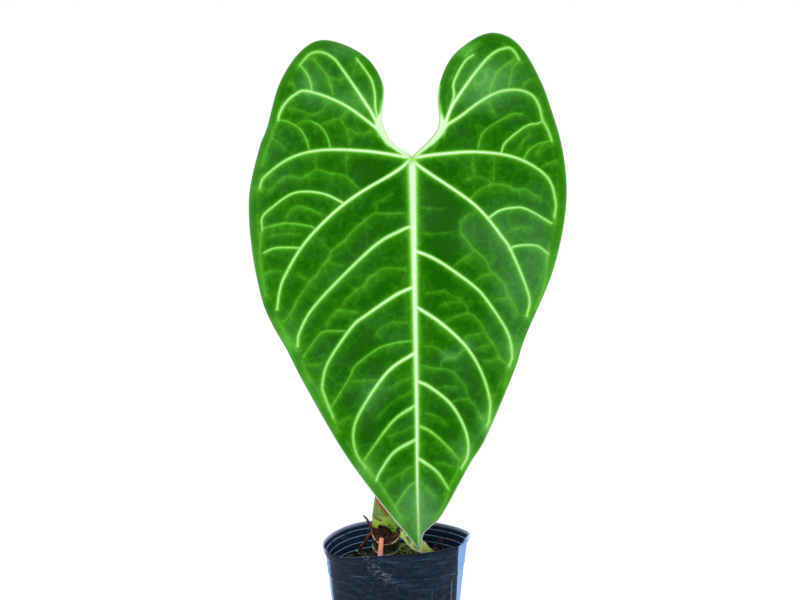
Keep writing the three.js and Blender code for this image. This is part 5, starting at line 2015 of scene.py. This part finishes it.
@dataclass
class Roots:
    """The young salmon root and the older brown ones."""

    def build(self) -> list[bpy.types.Object]:
        """Builds and dresses the roots.

        Returns:
            The roots.
        """
        young = RootFinish("new_root", srgb(250, 158, 124), srgb(234, 128, 94), srgb(253, 180, 172), 0.5)
        old = RootFinish("old_root", srgb(118, 62, 34), srgb(34, 16, 14), srgb(104, 98, 116), 0.75)
        thin = RootFinish("dry_root", srgb(104, 52, 36), srgb(56, 30, 26), srgb(90, 60, 50), 0.8)
        jobs = [
            ("new_root_visual", NEW_ROOT, young, "new_root", "new_root", (99, 90)),
            ("root_upper_visual", UPPER_ROOT, old, "old_root", "root_upper", (115, 120)),
            ("root_lower_visual", LOWER_ROOT, old, "old_root", "root_lower", (200, 201)),
            ("root_dry_visual", DRY_ROOT, thin, "old_root", "root_dry", (200, 201)),
        ]
        pieces = []
        for name, stations, finish, slot, node, (low, high) in jobs:
            obj = Bench.tube(name, stations, 16, 8)
            Bench.ruffle(obj, 0.35, 2.4, 6.0)
            Bench.keep(obj, "tip", self._tip(low, high))
            pieces.append(Bench.done(obj, finish.material(), slot, [node], 40))
        return pieces

    @staticmethod
    def _tip(low: float, high: float) -> Callable[[bpy.types.MeshVertex], float]:
        """How much of the tip's colour a point has.

        Args:
            low: Height where the tip's colour starts, in millimetres.
            high: Height where it is full.

        Returns:
            A rule for points.
        """
        if low < high:
            return lambda vertex: smooth(vertex.co.z / MM, low, high)
        return lambda vertex: 1 - smooth(vertex.co.z / MM, high, low)


@dataclass(frozen=True)
class OldLeafFinish:
    """Yellow-green ageing blade with a cream edge and dark vein spots."""

    yellow: Colour = srgb(238, 250, 136)
    green: Colour = srgb(104, 160, 48)
    cream: Colour = srgb(246, 236, 196)
    spot: Colour = srgb(26, 46, 12)
    brown: Colour = srgb(120, 82, 40)

    def material(self) -> bpy.types.Material:
        """The finish as a material."""
        paint = Paint("old_leaf", 0.6, 0.3)
        edge, along = paint.mark("edge"), paint.mark("along")
        patches = paint.grain(200, 4, roughness=0.65)
        spots = paint.cells(420, paint.stretched((1.4, 1, 0.8))).step(0.22, 0.08)
        aged = patches.step(0.43, 0.54) * 0.9 + along.step(0.45, 0.7) * 0.3
        colour = paint.mix(aged, self.green, self.yellow)
        colour = paint.mix(spots * paint.grain(90, 2).step(0.4, 0.55), colour, self.spot)
        x, z = paint.axis("X"), paint.axis("Z")
        hole = (((x - 9) * 0.36) ** 2 + ((z - 98.2 + (x - 9) * 0.5) * 0.75) ** 2).fading(1.0)
        colour = paint.mix(hole * patches.step(0.35, 0.5), colour, self.spot)
        tip = along.step(0.6, 0.8) * paint.grain(700, 3).step(0.5, 0.62)
        colour = paint.mix(tip * 0.8, colour, self.brown)
        colour = paint.mix(edge, colour, self.cream)
        return paint.finish(colour, None, patches, 0.3)


@dataclass
class OldLeaf:
    """Small old leaf that has sunk beside the stem, with rolled edges."""

    face: tuple[float, float, float] = (-0.05, -0.72, 0.69)
    rows: int = 70
    columns: int = 16

    def build(self) -> bpy.types.Object:
        """Builds and dresses the old leaf.

        Returns:
            The leaf.
        """
        line = smooth_line(OLD_LEAF, 50 / self.rows)
        count = len(line)
        face = Vector(self.face)
        front, back, edges, alongs = [], [], [], []
        for i, (x, y, z, half) in enumerate(line):
            ahead, behind = line[min(i + 1, count - 1)], line[max(i - 1, 0)]
            run = Vector(ahead[:3] - behind[:3]).normalized()
            side = run.cross(face).normalized()
            out = side.cross(run).normalized()
            swell = math.sin(math.pi * i / (count - 1))
            for j in range(self.columns + 1):
                part = 2 * j / self.columns - 1
                curl = (1.5 * part * part + 0.7 * part * math.sin(i * 14 / count * 1.3)) * swell
                curl += 0.25 * math.sin(i * 0.7) * part * part + 0.35 * abs(part) ** 0.5 * (part < 0)
                spot = Vector((x, y, z)) + side * (half * part) - face * curl
                thick = 0.45 * (1 - 0.6 * part**4)
                front.append((spot + out * thick) * MM)
                back.append((spot - out * thick) * MM)
                edges.append(smooth(abs(part), 0.78, 0.92))
                alongs.append(i / (count - 1))
        faces = self._faces(count)
        obj = Bench.from_points("old_leaf_visual", [*front, *back], (), faces)
        Bench.keep_all(obj, "edge", edges * 2)
        Bench.keep_all(obj, "along", alongs * 2)
        Bench.close_up(obj)
        return Bench.done(obj, OldLeafFinish().material(), "old_leaf", ["old_leaf"], 60)

    def _faces(self, count: int) -> list[tuple[int, ...]]:
        """Faces of the front, the back and the rim of the sheet.

        Args:
            count: Number of rows.

        Returns:
            The faces.
        """
        wide = self.columns + 1
        size = count * wide
        faces = []
        for i in range(count - 1):
            for j in range(self.columns):
                a = i * wide + j
                quad = (a, a + 1, a + wide + 1, a + wide)
                faces += [quad, tuple(size + k for k in reversed(quad))]
        loop = list(range(wide))
        loop += [i * wide + self.columns for i in range(1, count)]
        loop += [(count - 1) * wide + j for j in range(self.columns - 1, -1, -1)]
        loop += [i * wide for i in range(count - 2, 0, -1)]
        faces += [(b, a, size + a, size + b) for a, b in zip(loop, loop[1:] + loop[:1])]
        return faces


@dataclass(frozen=True)
class Studio:
    """Plain pale floor, soft light from all round, and the camera."""

    lens: float = 55.5
    camera: tuple[float, float, float] = (0.0022, -1.0, 0.3717)
    pitch: float = math.radians(4.16)

    def build(self) -> None:
        """Sets up floor, light and camera."""
        scene = bpy.context.scene
        scene.view_settings.view_transform = "Standard"
        Bench.clear()
        bpy.ops.mesh.primitive_plane_add(size=12, location=(0, 0, -0.0002))
        floor = bpy.context.object
        floor.name = "floor"
        paint = Paint("floor", 0.9, 0.1, Emission_Color=(1, 1, 1, 1), Emission_Strength=0.16)
        floor.data.materials.append(paint.finish((0.9, 0.9, 0.9, 1)))
        world = bpy.data.worlds.new("studio")
        world.use_nodes = True
        world.node_tree.nodes["Background"].inputs["Color"].default_value = (1, 1, 1, 1)
        world.node_tree.nodes["Background"].inputs["Strength"].default_value = 1.0
        scene.world = world
        self._lamp("key", (-0.9, -1.6, 1.5), 1.2, 12, (1, 1, 1))
        self._lamp("side", (1.6, 0.2, 0.5), 0.9, 9, (0.86, 0.92, 1))
        self._camera()

    @staticmethod
    def _lamp(name: str, place: tuple[float, float, float], size: float, power: float,
              colour: tuple[float, float, float]) -> None:
        """Adds a soft lamp that looks at the plant.

        Args:
            name: The lamp's name.
            place: Where it stands.
            size: Its width.
            power: Its power in watts.
            colour: Its colour.
        """
        data = bpy.data.lights.new(name, "AREA")
        data.size = size
        data.energy = power
        data.color = colour
        lamp = bpy.data.objects.new(name, data)
        bpy.context.scene.collection.objects.link(lamp)
        lamp.location = place
        lamp.rotation_euler = (Vector((0, 0, 0.25)) - Vector(place)).to_track_quat("-Z", "Y").to_euler()

    def _camera(self) -> None:
        """Adds the camera at the photograph's place."""
        data = bpy.data.cameras.new("camera")
        data.lens = self.lens
        data.sensor_width = 36
        camera = bpy.data.objects.new("camera", data)
        bpy.context.scene.collection.objects.link(camera)
        camera.location = self.camera
        camera.rotation_euler = (math.pi / 2 - self.pitch, 0, 0)
        bpy.context.scene.camera = camera


def main() -> None:
    """Builds and dresses the whole plant."""
    logging.basicConfig(level=logging.INFO, format="%(name)s %(message)s")
    Studio().build()
    Pot().build()
    PottingMix().build()
    Moss().build()
    Stem().build()
    ScarFibres().build()
    LeafSheath().build()
    LeafStalk().build()
    LeafBlade().build()
    Roots().build()
    OldLeaf().build()


if __name__ == "__main__":
    main()
